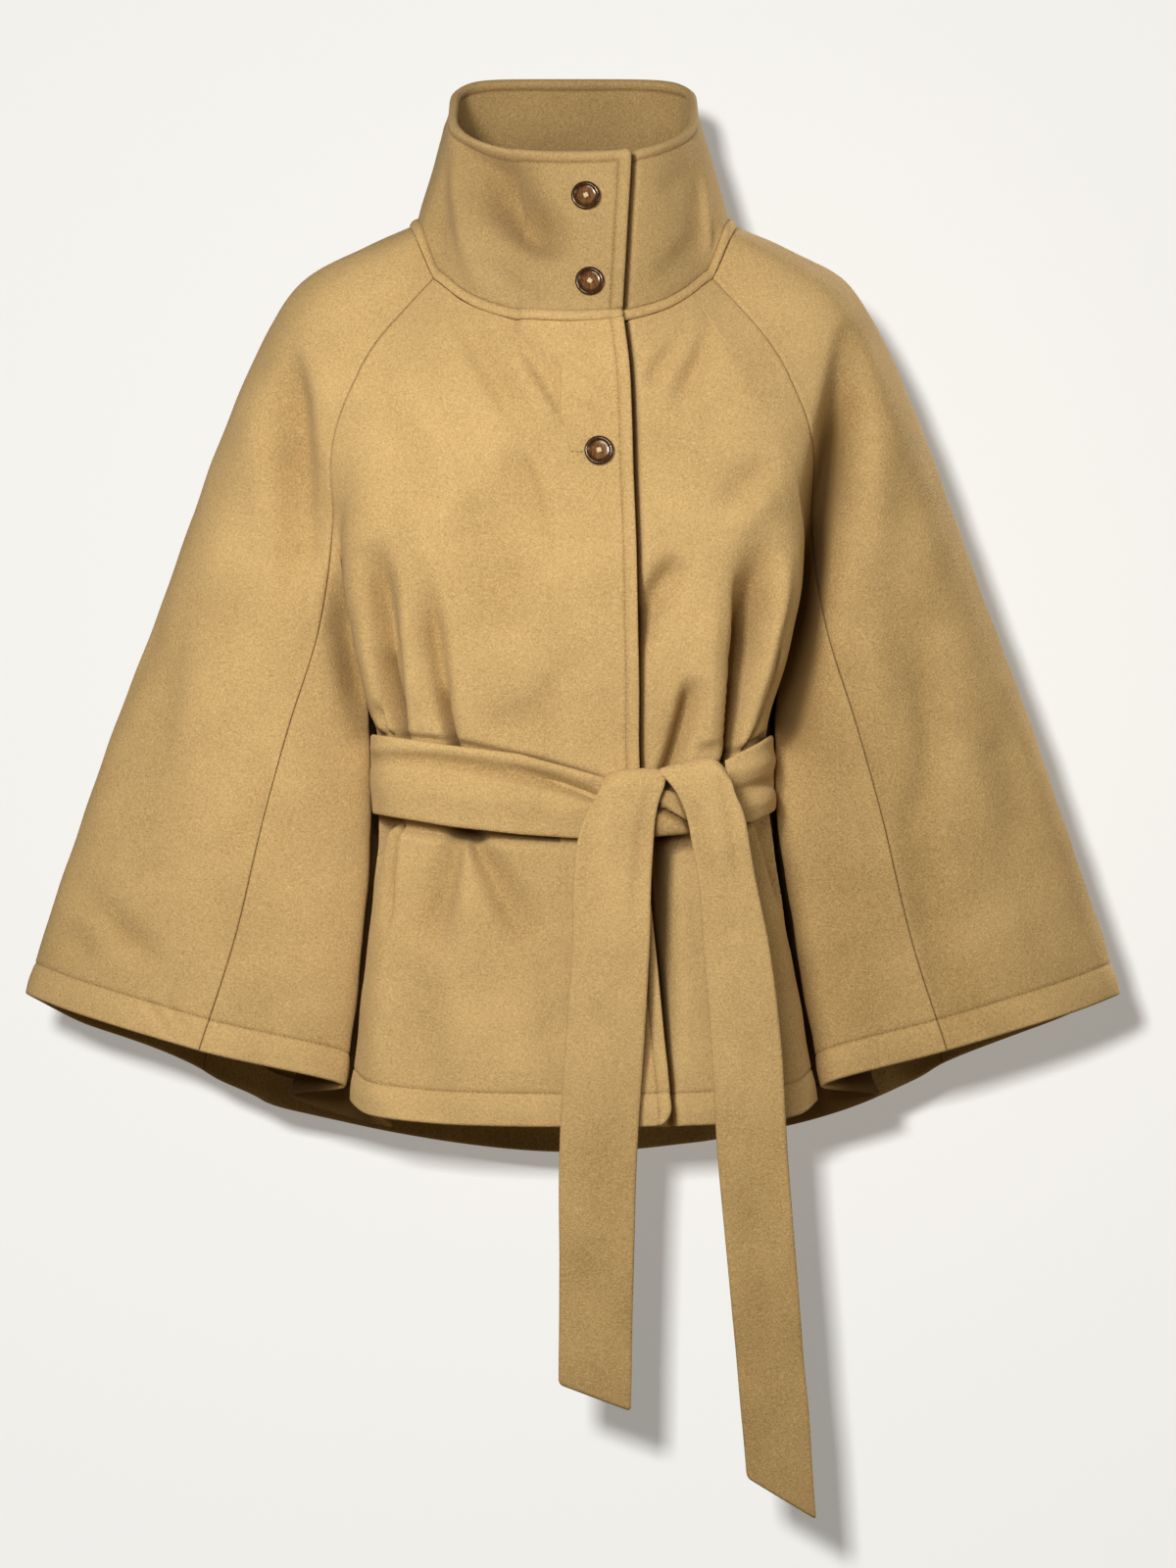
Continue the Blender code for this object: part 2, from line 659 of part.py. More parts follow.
def make_knot():
    """The knot's wrap: a pressed roll of cloth, fuller in the middle."""
    sections = []
    ends = KNOT["end_fullness"]
    square = KNOT["square"]
    deep = (KNOT["front_y"] - KNOT["back_y"]) / 2
    for part in np.linspace(-1, 1, KNOT["sections"]):
        fullness = ends + (1 - ends) * math.sqrt(1 - abs(part) ** 3)
        ring = []
        for side in range(KNOT["sides"]):
            turn = 2 * math.pi * side / KNOT["sides"]
            across = math.copysign(abs(math.cos(turn)) ** square, math.cos(turn))
            high = math.copysign(abs(math.sin(turn)) ** square, math.sin(turn))
            ring.append((KNOT["x"] + KNOT["half_width"] * part,
                         (KNOT["front_y"] + KNOT["back_y"]) / 2 + deep * across * fullness,
                         KNOT["z"] + KNOT["half_height"] * high * fullness))
        sections.append(ring)
    return tube("knot", np.array(sections, float), CAMEL)


def make_tail(name, rows, slant):
    """A hanging end of the belt, cut on a slant."""
    table = np.array(rows, float)
    count = 2 * (len(rows) - 1)
    fine = through(table, np.linspace(0, len(rows) - 1, count + 1))
    across = np.linspace(0, 1, 5)
    outer = np.zeros((len(fine), len(across), 3))
    inner = np.zeros_like(outer)
    for k, (z, left, right, y) in enumerate(fine):
        lower = slant * smoothstep((k - count + 3) / 3.0)
        bulge = TAIL_BULGE * (1 - (2 * across - 1) ** 2)
        for grid, layer in ((outer, 0.0), (inner, BELT_WALL)):
            grid[k, :, 0] = left + (right - left) * across
            grid[k, :, 1] = y - bulge + layer
            grid[k, :, 2] = z - lower * across
    return shell(name, outer, inner, CAMEL)


# ------------------------------------------------------------------ buttons
def nearest(points, normals, x, z):
    """Point and normal of a grid that lie closest to x and z, as seen from the front."""
    away = (points[..., 0] - x) ** 2 + (points[..., 2] - z) ** 2
    place = np.unravel_index(np.argmin(away), away.shape)
    return points[place], normals[place]


def make_button(label, x, z, carrier):
    """A turned button with a raised rim, lying on its piece."""
    across = np.linspace(UNDER_END, LAP_EDGE, 61)
    if carrier == "collar":
        face = collar_skin(across, np.linspace(0, 1, 121), lap(across, COLLAR_WALL + LAP_CLEAR))
    else:
        down = np.linspace(2, 4, 121)
        points, normals = skin(across, down)
        face = points + normals * lap(across, CLOTH + LAP_CLEAR)[None, :, None], normals
    seat, normal = nearest(face[0], face[1], x, z)
    side = np.cross([0, 0, 1.0], normal)
    side /= np.linalg.norm(side)
    upright = np.cross(normal, side)
    profile = ((0.0, 0.0), (0.62, 0.0), (0.90, 0.22), (1.0, 0.55), (0.96, 0.92), (0.84, 1.0),
               (0.70, 0.82), (0.40, 0.66), (0.0, 0.62))
    vertices, faces = [], []
    for radius, height in profile:
        rise = LAP_CLEAR + height * BUTTON_THICK
        ring = 1 if radius == 0 else BUTTON_SIDES
        for k in range(ring):
            turn = 2 * math.pi * k / BUTTON_SIDES
            flat = (side * math.cos(turn) + upright * math.sin(turn)) * radius * BUTTON_RADIUS
            vertices.append(seat + normal * rise + flat)
    rings = len(profile) - 2
    for k in range(BUTTON_SIDES):
        n = (k + 1) % BUTTON_SIDES
        faces.append([0, 1 + n, 1 + k])
        for r in range(rings - 1):
            low = 1 + r * BUTTON_SIDES
            high = low + BUTTON_SIDES
            faces.append([low + k, low + n, high + n, high + k])
        top = 1 + (rings - 1) * BUTTON_SIDES
        faces.append([top + k, top + n, len(vertices) - 1])
    return make_object("button_" + label, vertices, faces, HORN, roughness=0.25)


# ================================================================== the cape
for old in list(bpy.data.objects):
    bpy.data.objects.remove(old, do_unlink=True)

upper = steps_between(-RAGLAN_FRONT_AT, LAP_EDGE)
panel("front_right", upper, ("left",), out=lap(upper, CLOTH + LAP_CLEAR), slit=True)
lower = np.concatenate(([UNDER_END], steps_between(0, RAGLAN_FRONT_AT)))
panel("front_left", lower, ("right",), slit=True)
panel("sleeve_left", steps_between(RAGLAN_FRONT_AT, RAGLAN_BACK_AT), ("left", "right"))
panel("sleeve_right", -steps_between(RAGLAN_FRONT_AT, RAGLAN_BACK_AT)[::-1], ("left", "right"))
behind = steps_between(RAGLAN_BACK_AT, CENTRE_BACK_AT)
panel("back", np.concatenate((behind, 2 * CENTRE_BACK_AT - behind[::-1][1:])), ("left", "right"))
make_collar()
make_neck_seam()
make_belt()
make_knot()
make_tail("tail_left", TAIL_LEFT, TAIL_LEFT_SLANT)
make_tail("tail_right", TAIL_RIGHT, TAIL_RIGHT_SLANT)
for button in BUTTONS:
    make_button(*button)
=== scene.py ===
"""Looks of the belted wool cape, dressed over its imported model.

The sections follow the coat as it is made up: the cut fronts, sleeves and back, the neck seam
and collar, the belt with its knot and tails, and the buttons.  Sizes are in millimetres in the
model's own frame (+Z up, the front faces -Y), and turn into metres where a mesh is made.
"""
import math

import bpy
import numpy as np
from mathutils import Matrix, Vector


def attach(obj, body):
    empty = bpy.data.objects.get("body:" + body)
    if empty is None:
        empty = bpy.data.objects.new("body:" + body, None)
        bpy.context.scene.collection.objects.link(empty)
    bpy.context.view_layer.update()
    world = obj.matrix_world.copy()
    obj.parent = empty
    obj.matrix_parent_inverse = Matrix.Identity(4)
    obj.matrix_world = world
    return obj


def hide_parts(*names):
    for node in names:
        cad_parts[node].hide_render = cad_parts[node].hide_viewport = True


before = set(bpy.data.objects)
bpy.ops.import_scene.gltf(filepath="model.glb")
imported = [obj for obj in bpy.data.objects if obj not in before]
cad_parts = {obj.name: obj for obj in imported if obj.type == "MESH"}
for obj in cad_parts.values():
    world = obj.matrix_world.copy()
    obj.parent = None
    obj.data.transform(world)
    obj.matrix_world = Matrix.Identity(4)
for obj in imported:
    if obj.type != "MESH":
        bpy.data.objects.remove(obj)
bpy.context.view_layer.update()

# ================================================================== camera, room and lights
# The camera looks level at the cape from four metres off.  A softbox at the upper left models
# the folds.  The pale wall close behind has a lamp of its own, beside the camera, which throws
# the cape's soft shadow on it.
MM = 0.001
EYE = (11.25, -4000, -412.5)
FRAME_TALL = 1200      # height of the picture where it crosses the cape
SENSOR = 36.0          # height of the camera's film, in its own mm
SIGHT = 60000          # how far the camera sees
WALL_Y = 420
FLOOR_Z = -1110
ROOM_WIDE = 9000

eye_data = bpy.data.cameras.new("eye")
eye_data.lens = SENSOR * -EYE[1] / FRAME_TALL
eye_data.clip_end = SIGHT * MM
eye = bpy.data.objects.new("eye", eye_data)
bpy.context.collection.objects.link(eye)
eye.location = Vector(EYE) * MM
eye.rotation_euler = (math.pi / 2, 0, 0)
bpy.context.scene.camera = eye
bpy.context.scene.view_settings.view_transform = "Standard"


def lamp(name, spot, aim, size, power, spread=180):
    """A square softbox of `size` mm at `spot` that faces `aim`, of `power` watts and with a beam
    of `spread` degrees."""
    data = bpy.data.lights.new(name, "AREA")
    data.size = size * MM
    data.energy = power
    data.spread = math.radians(spread)
    light = bpy.data.objects.new(name, data)
    bpy.context.collection.objects.link(light)
    light.location = Vector(spot) * MM
    light.rotation_euler = (Vector(aim) - Vector(spot)).to_track_quat("-Z", "Y").to_euler()
    return light


def restrict(light, piece, state):
    """Let a lamp light only this piece (INCLUDE), or all but it (EXCLUDE)."""
    group = bpy.data.collections.new(light.name + "_reach")
    group.objects.link(piece)
    light.light_linking.receiver_collection = group
    for entry in group.collection_objects:
        entry.light_linking.link_state = state


WAIST = (0, 0, -420)
CHEST = (-40, -100, -330)
BUST = (-40, -100, -260)
key = lamp("key", (-670, -1810, 460), CHEST, 400, 10.0, 110)
fill = lamp("fill", (-240, -1480, -120), BUST, 480, 2.1, 90)
side_lamp = lamp("side_lamp", (2200, -1300, 250), CHEST, 700, 4.3, 120)
wall_lamp = lamp("wall_lamp", (-210, -4100, -140), WAIST, 130, 265.0)
lamp("back_lamp", (2300, 2300, 900), WAIST, 800, 110.0)

# The room's light comes from all round, warmed by what it has already met; seen directly,
# the room is as pale as the wall.
ROOM_LIGHT = (0.141, 0.112, 0.068, 1)
ROOM_SEEN = (0.86, 0.847, 0.821, 1)
world = bpy.data.worlds.new("room_light")
bpy.context.scene.world = world
world.use_nodes = True
room = world.node_tree
sight = room.nodes.new("ShaderNodeLightPath")
tint = room.nodes.new("ShaderNodeMix")
tint.data_type = "RGBA"
tint.inputs[6].default_value = ROOM_LIGHT
tint.inputs[7].default_value = ROOM_SEEN
room.links.new(sight.outputs["Is Camera Ray"], tint.inputs[0])
room.links.new(tint.outputs[2], room.nodes["Background"].inputs["Color"])


class Channel:
    """One output of a node in a finish.  Arithmetic on it adds Math nodes."""

    def __init__(self, finish, socket):
        self.finish = finish
        self.socket = socket

    def joined(self, operation, first, second):
        return self.finish.node("Math", dict(operation=operation), {0: first, 1: second})

    def __add__(self, other):
        return self.joined("ADD", self, other)

    def __sub__(self, other):
        return self.joined("SUBTRACT", self, other)

    def __rsub__(self, other):
        return self.joined("SUBTRACT", other, self)

    def __mul__(self, other):
        return self.joined("MULTIPLY", self, other)

    __radd__ = __add__
    __rmul__ = __mul__


class Finish:
    """A Principled surface: what is the same all over goes on the shader's own sockets."""

    def __init__(self, name, constants):
        self.material = bpy.data.materials.new(name)
        self.material.use_nodes = True
        self.tree = self.material.node_tree
        self.shader = self.tree.nodes["Principled BSDF"]
        for socket, value in constants.items():
            self.feed(socket, value)

    def connect(self, socket, value):
        if isinstance(value, Channel):
            self.tree.links.new(value.socket, socket)
        else:
            socket.default_value = value

    def feed(self, socket, value):
        self.connect(self.shader.inputs[socket], value)

    def node(self, kind, settings, values, output=0):
        """Any node: its settings first, then the values or links of its inputs."""
        made = self.tree.nodes.new("ShaderNode" + kind)
        for word, value in settings.items():
            if word == "stops":
                stops = made.color_ramp.elements
                for place, colour in value[1:-1]:
                    stops.new(place).color = colour
                stops[0].position, stops[0].color = value[0]
                stops[-1].position, stops[-1].color = value[-1]
            else:
                setattr(made, word, value)
        for socket, value in values.items():
            self.connect(made.inputs[socket], value)
        return Channel(self, made.outputs[output])

    def blend(self, share, first, second):
        """A colour between two others."""
        return self.node("Mix", dict(data_type="RGBA"), {0: share, 6: first, 7: second}, 2)


PALE = (1.0, 1.0, 0.983, 1)


def sheet_of_room(name, corners, shade, glow):
    """A flat piece of the room, seen from its front side only and lighting nothing.  It is
    painted in a `shade` of pale and gives off `glow` of its own, so that what stands before it
    darkens it only a little."""
    mesh = bpy.data.meshes.new(name)
    mesh.from_pydata([Vector(corner) * MM for corner in corners], [], [range(4)])
    colour = [shade * value for value in PALE[:3]]
    paint = Finish(name + "_paint", {"Base Color": (*colour, 1), "Roughness": 1.0,
                                     "Specular IOR Level": 0.0, "Emission Color": PALE,
                                     "Emission Strength": glow})
    paint.feed("Alpha", 1 - paint.node("NewGeometry", {}, {}, "Backfacing"))
    mesh.materials.append(paint.material)
    piece = bpy.data.objects.new(name, mesh)
    bpy.context.collection.objects.link(piece)
    piece.visible_diffuse = False
    piece.visible_glossy = False
    piece.visible_shadow = False
    return piece


far = ROOM_WIDE / 2
wall = sheet_of_room("wall", ((-far, WALL_Y, FLOOR_Z), (far, WALL_Y, FLOOR_Z),
                              (far, WALL_Y, far), (-far, WALL_Y, far)), 0.44, 0.27)
sheet_of_room("floor", ((-far, -far, FLOOR_Z), (far, -far, FLOOR_Z),
                        (far, far, FLOOR_Z), (-far, far, FLOOR_Z)), 0.40, 0.56)
for light in (key, fill, side_lamp):
    restrict(light, wall, "EXCLUDE")
restrict(wall_lamp, wall, "INCLUDE")

# ================================================================== the two fronts
# Camel coat wool, felted and napped, about 2.5 mm thick.  The right front laps over the left
# and is topstitched along its edge; each is cut with its side, which folds deep in under the
# arm, and is joined to the sleeve by a pressed raglan seam.
CLOTH = 2.5            # wall of the coat wool
SEAM_GAP = 0.3         # clear space between two pieces that are sewn together
LAP_CLEAR = 0.4        # clear space between two layers that lie on each other
UNDER_END = -0.2       # station where the lower front, and the collar's lower end, stop
LAP_RISE = (-1.7, 1.2)   # station where the upper front starts to rise over it, and how far on

# Levels, neck to hem.  Each table below has one row for each of them.
LEVELS = ("neck", "yoke", "shoulder", "chest", "bust", "armhole",
          "rib", "belt_top", "belt_foot", "skirt", "hem")
BELT_TOP = LEVELS.index("belt_top")
BELT_FOOT = LEVELS.index("belt_foot")
HEM = LEVELS.index("hem")

# Stations, centre front to centre back, the same on both sides of the body.
STATIONS = ("centre_front", "lap_edge", "front_mid", "torso_corner", "torso_edge",
            "fold_bottom", "fold_pocket", "sleeve_inner", "raglan_front", "sleeve_front",
            "outer_line", "sleeve_back", "raglan_back", "back_side", "back_mid", "centre_back")
LAP_EDGE = STATIONS.index("lap_edge")
TORSO_EDGE_AT = STATIONS.index("torso_edge")
SLEEVE_INNER_AT = STATIONS.index("sleeve_inner")
RAGLAN_FRONT_AT = STATIONS.index("raglan_front")
RAGLAN_BACK_AT = STATIONS.index("raglan_back")
CENTRE_BACK_AT = STATIONS.index("centre_back")

# How deep and how low the centre front is, where the upper front's edge runs, how far the
# skirt swings to +X, and the degrees that the front has turned at the torso's edge.
#  front_y front_z lap_x sway turn
FRONT = (
    (-98, -68, 37, 0, 45),
    (-106, -103, 42, 0, 54),
    (-113, -143, 44, 0, 63),
    (-119, -182, 45, 0, 72),
    (-124, -236, 47, 0, 82),
    (-124, -286, 48, 0, 90),
    (-119, -338, 49, 0, 90),
    (-112, -389, 50, -1, 90),
    (-112, -457, 52, 1, 90),
    (-119, -553, 58, 5, 90),
    (-128, -667, 66, 8, 90),
)
# Side of the torso, where the front turns back.
#  x    y    z
TORSO_EDGE = (
    (88, -69, -45),
    (104, -87, -75),
    (125, -99, -108),
    (143, -102, -137),
    (164, -97, -182),
    (173, -86, -228),
    (166, -78, -300),
    (147, -63, -370),
    (147, -63, -440),
    (161, -67, -550),
    (176, -74, -651),
)
# The deep fold between torso and sleeve opens from the armhole level down, and above it the
# cloth is smooth.  `bottom` is where the belt leaves the torso, `pocket` the far wall of the
# fold and `inner` the edge where the sleeve comes forward again.
FOLD_FROM = LEVELS.index("armhole")
#  bottom x   y    z   pocket x   y    z    inner x   y    z
SIDE_FOLD = (
    (174, -78, -226, 176, -75, -225, 178, -74, -223),
    (157, -34, -300, 162, -37, -299, 165, -56, -297),
    (144, 4, -372, 159, -18, -371, 155, -47, -369),
    (144, 4, -442, 160, -18, -441, 155, -49, -439),
    (147, 8, -558, 188, -22, -552, 165, -54, -545),
    (152, 14, -676, 222, -24, -650, 179, -59, -641),
)
# Seam between front and sleeve.
#  x    y    z
RAGLAN_FRONT = (
    (105, -51, -30),
    (127.5, -68, -56),
    (149, -81, -83),
    (163.5, -87, -110),
    (181, -82, -161),
    (181, -72, -221),
    (191, -64, -294),
    (214, -63, -369),
    (232.5, -66, -436),
    (255, -71, -531),
    (281, -77, -613),
)
# Outermost line of the cape, from the neck over the shoulder and down.
#  x    y    z
OUTER_LINE = (
    (124, 0, 14),
    (160, 2, -1),
    (207, 3, -27.5),
    (232, 3, -63),
    (264, 2, -135),
    (293, 1, -212),
    (323, 0, -294),
    (350, 0, -365),
    (374, 0, -434),
    (403, 0, -520),
    (419.5, 0, -573),
)
# Seam between sleeve and back.
#  x    y    z
RAGLAN_BACK = (
    (100, 46, 29),
    (126, 60, 2),
    (152, 74, -40),
    (168, 82, -84),
    (190, 88, -150),
    (205, 91, -215),
    (222, 91, -298),
    (240, 91, -372),
    (252, 90, -438),
    (270, 88, -535),
    (288, 86, -631),
)
# Centre back.
#  y    z
CENTRE_BACK = (
    (78, 40),
    (98, 8),
    (111, -38),
    (118, -86),
    (124, -152),
    (128, -217),
    (132, -300),
    (136, -376),
    (139, -446),
    (145, -560),
    (152, -704),
)
# Soft flutes that run down into the hem: station, side (-1 is -X), half-width in stations,
# depth (minus is inwards), how much lower the hem hangs there, level where the flute starts.
FLUTES = (
    (13.0, -1, 0.50, -27, 5, 6.5),
    (12.2, -1, 0.60, 9, 6, 6.0),
    (13.3, 1, 0.52, -20, 0, 6.0),
    (12.4, 1, 0.60, 7, 0, 6.0),
    (14.1, -1, 0.60, 10, 0, 5.0),
    (14.2, 1, 0.60, 9, 0, 5.5),
    (15.0, 1, 0.55, -8, 0, 6.0),
    (9.0, -1, 0.50, -6, 0, 4.5),
    (9.1, 1, 0.50, -5, 0, 5.0),
    (11.0, -1, 0.55, -9, 5, 5.0),
    (10.9, 1, 0.55, -10, 0, 5.5),
)
FRONT_SQUARE = 2.5     # how square the front's section is: 2 is an ellipse
FRONT_TURNS = (0.4, 0.72)   # share of the front's turn at stations front_mid and torso_corner
SLEEVE_TURN = math.radians(50)   # how far round the sleeve its middle stations lie
BACK_TURNS = (62, 30)  # degrees from the centre back to stations back_side and back_mid
HEM_RISE_FRONT = 3.3   # how late the hem rises from the seam to the outer line
HEM_RISE_BACK = 2.8
BACK_FALL = 1.6        # how late the back falls from the seam to its centre


def smoothstep(t):
    """0 up to t = 0, 1 from t = 1 on, and an S between them."""
    t = np.clip(t, 0.0, 1.0)
    return t * t * (3 - 2 * t)


def through(points, t):
    """Centripetal Catmull-Rom curve through points (axis 0) at t = 0, 1, 2 ..."""
    points = np.asarray(points, float)
    last = len(points) - 1
    steps = np.diff(points, axis=0)
    knots = np.sqrt(np.maximum(np.linalg.norm(steps, axis=-1, keepdims=True), 1e-6))
    slopes = steps / knots
    tangents = np.empty_like(points)
    both = knots[:-1] + knots[1:]
    tangents[1:-1] = slopes[:-1] + slopes[1:] - (steps[:-1] + steps[1:]) / both
    tangents[0] = slopes[0]
    tangents[-1] = slopes[-1]
    t = np.clip(np.asarray(t, float), 0, last)
    k = np.minimum(t.astype(int), last - 1)
    s = (t - k).reshape(t.shape + (1,) * (points.ndim - 1))
    a, b, knot = points[k], points[k + 1], knots[k]
    return ((2 * s**3 - 3 * s**2 + 1) * a + (s**3 - 2 * s**2 + s) * knot * tangents[k]
            + (3 * s**2 - 2 * s**3) * b + (s**3 - s**2) * knot * tangents[k + 1])


def sleeve_middle(seam, outer, rise):
    """Point on the sleeve between one of its seams and the outer line."""
    aside, along = math.sin(SLEEVE_TURN), math.cos(SLEEVE_TURN)
    return (seam[0] + (outer[0] - seam[0]) * aside,
            outer[1] + (seam[1] - outer[1]) * along,
            outer[2] + (seam[2] - outer[2]) * along ** rise)


def station_table():
    """Points (level, station, xyz) of one half of the cape, worked out from the tables."""
    table = np.zeros((len(LEVELS), len(STATIONS), 3))
    power = 2 / FRONT_SQUARE
    for level in range(len(LEVELS)):
        front_y, front_z, lap_x, _, turned = FRONT[level]
        edge = np.array(TORSO_EDGE[level], float)
        seam = np.array(RAGLAN_FRONT[level], float)
        outer = np.array(OUTER_LINE[level], float)
        back_seam = np.array(RAGLAN_BACK[level], float)
        back_y, back_z = CENTRE_BACK[level]
        full = math.radians(turned)
        lap_turn = math.asin(math.sin(full) * (lap_x / edge[0]) ** (1 / power))
        rows = []
        for turn in (0, lap_turn, FRONT_TURNS[0] * full, FRONT_TURNS[1] * full):
            across = (math.sin(turn) / math.sin(full)) ** power
            back = (1 - math.cos(turn) ** power) / (1 - math.cos(full) ** power)
            rows.append((edge[0] * across, front_y + (edge[1] - front_y) * back,
                         front_z + (edge[2] - front_z) * back))
        rows.append(edge)
        if level < FOLD_FROM:
            rows += [edge + (seam - edge) * part for part in (0.25, 0.5, 0.75)]
        else:
            rows += list(np.reshape(SIDE_FOLD[level - FOLD_FROM], (3, 3)))
        rows += [seam, sleeve_middle(seam, outer, HEM_RISE_FRONT), outer,
                 sleeve_middle(back_seam, outer, HEM_RISE_BACK), back_seam]
        for turn in np.radians(BACK_TURNS):
            part = math.cos(turn)
            rows.append((back_seam[0] * math.sin(turn),
                         back_seam[1] + (back_y - back_seam[1]) * part,
                         back_seam[2] + (back_z - back_seam[2]) * part ** BACK_FALL))
        rows.append((0, back_y, back_z))
        table[level] = rows
    return table


TABLE = station_table()
SWAY = np.array([row[3] for row in FRONT], float)
MIRROR = np.array([-1.0, 1.0, 1.0])
FLUTE_GROWTH = 1.3     # how late a flute grows on its way down
PROBE = 0.02           # part of a station or level over which the cloth's way is measured


def wrap(across):
    """Round the body past the centre back: station 16 is station 14 of the other side."""
    across = np.asarray(across, float)
    return np.where(across > CENTRE_BACK_AT, across - 2 * CENTRE_BACK_AT, across)


def flutes(across, down):
    """Depth of the soft flutes and drop of the hem under them, in mm, at each point."""
    depth = np.zeros(np.broadcast(across, down).shape)
    drop = np.zeros_like(depth)
    for station, side, half_width, amount, lower, start in FLUTES:
        away = np.abs(across - side * station)
        away = np.minimum(away, 2 * CENTRE_BACK_AT - away)
        grown = smoothstep((down - start) / (HEM - start)) ** FLUTE_GROWTH
        bump = np.exp(-(away / half_width) ** 2) * grown
        depth += amount * bump
        drop += lower * bump
    return depth, drop


def bare_skin(across, down):
    """The skin without flutes: arrays of stations and of levels give (down, across, xyz)."""
    across = wrap(across)
    rows = through(TABLE, down)
    ends = (rows[:, 1:2] * MIRROR, rows, rows[:, -2:-1] * MIRROR)
    half = np.moveaxis(np.concatenate(ends, axis=1), 1, 0)
    points = np.moveaxis(through(half, np.abs(across) + 1), 0, 1)
    points[..., 0] *= np.where(across < 0, -1, 1)
    sway = through(SWAY[:, None], down)
    inside = 1 - smoothstep(np.abs(across) - SLEEVE_INNER_AT)
    points[..., 0] += sway * inside
    return points


def unit(vectors):
    """The same directions, of length 1."""
    return vectors / np.maximum(np.linalg.norm(vectors, axis=-1, keepdims=True), 1e-9)


def cloth_face(across, down):
    """Points and normals of the cape's outer face, flutes included."""
    here = bare_skin(across, down)
    run = bare_skin(across + PROBE, down) - bare_skin(across - PROBE, down)
    fall = bare_skin(across, down + PROBE) - bare_skin(across, down - PROBE)
    normal = unit(np.cross(fall, run))
    depth, drop = flutes(wrap(across)[None, :], down[:, None])
    here[..., 2] -= drop
    return here + normal * depth[..., None], normal


def lap(across, layer):
    """How far the upper front stands out where it lies on the lower one."""
    start, run_on = LAP_RISE
    return layer * smoothstep((np.asarray(across, float) - start) / run_on)


DENSE = 24             # samples of the skin between two stations or levels
PANEL_STEP = 3.8       # widest spacing of a panel's columns
ROW_STEPS = (3.4, 3.4, 3.3, 3.5, 3.8, 3.2, 2.8, 2.8, 3.4, 3.8)   # and of its rows, by level
GIVE = 30.0            # least distance over which the columns make room for the fine ones
# Distances from an edge at which the fine rows or columns lie, closer where a stitch line runs.
SEAM_STOPS = (0, 0.5, 1.0, 1.7, 2.6, 4.0)
PLACKET_STOPS = (0, 0.6, 1.3, 2.2, 3.4, 5.0, 7.0, 8.4, 9.1, 9.5, 9.9, 10.6, 12.0, 14.0)
NECK_STOPS = (0, 0.8, 1.6, 3.0, 5.0)
HEM_STOPS = (0, 0.5, 1.1, 1.9, 3.0, 5.0, 8.0, 11.5, 15.0, 18.5, 21.5, 23.5, 24.5, 25.0, 25.5,
             26.5, 28.5, 31.0)


def respread(dense, step, first, last):
    """Set a dense grid's columns at most `step` apart, which is one number or one for each
    stretch, with fine ones at the distances `first` and `last` from its two ends.  The
    distances to both ends are added as two more values."""
    steps = np.linalg.norm(np.diff(dense[..., :3], axis=1), axis=-1)
    run = np.concatenate((np.zeros((len(dense), 1)), np.cumsum(steps, axis=1)), axis=1)
    final = dense.shape[1] - 1
    marks = [0.0]
    starts = range(0, final, DENSE)
    apart = np.broadcast_to(step, len(starts))
    for start, widest in zip(starts, apart):
        stop = min(start + DENSE, final)
        longest = (run[:, stop] - run[:, start]).max()
        marks += list(np.linspace(start, stop, max(1, math.ceil(longest / widest)) + 1)[1:])
    marks = np.array(marks[1:-1])
    first = np.array(first, float)
    last = np.array(last, float)
    room_first = first[-1] + apart[0] / 2
    room_last = last[-1] + apart[-1] / 2
    lines = []
    for line, along in zip(dense, run):
        total = along[-1]
        middle = np.interp(marks, np.arange(final + 1), along)
        middle = (middle + room_first * np.exp(-middle / max(GIVE, 1.8 * room_first))
                  - room_last * np.exp((middle - total) / max(GIVE, 1.8 * room_last)))
        stops = np.concatenate((first, middle, total - last[::-1]))
        values = [np.interp(stops, along, line[:, k]) for k in range(line.shape[1])]
        lines.append(np.stack(values + [stops, total - stops], axis=-1))
    return np.array(lines)


# Hollows beside the torso, where the sleeve hangs back from it.  Their rows, and those of all
# the creases further on, are listed one by one: start, middle and end (x and z in mm, as seen
# from the camera on the plane through the origin), half-widths to the left and right of the way
# down, how much of them is left at the end, depth (minus is inwards, and for a hollow it is how
# far the cloth lies back), how much of it is there at the start and at the end, and how far a
# crest leans over it.
HOLLOWS = (
    (210, -72, 185, -204, 157, -364, 8, 20, 1, 40, 0.15, 0.6, 0),
    (-178, -240, -172, -310, -157, -372, 12, 9, 1, 15, 0, 0.6, 0),
)
HOLLOW_FROM = 4.15     # station where the hollows set in, beyond the torso's edge
HOLLOW_RISE = 0.7      # stations over which they do so
HOLLOW_ENDS = 40       # y behind which there are none
HOLLOW_SHADE_DEPTH = 34.0     # depth at which a hollow's painted shade is full
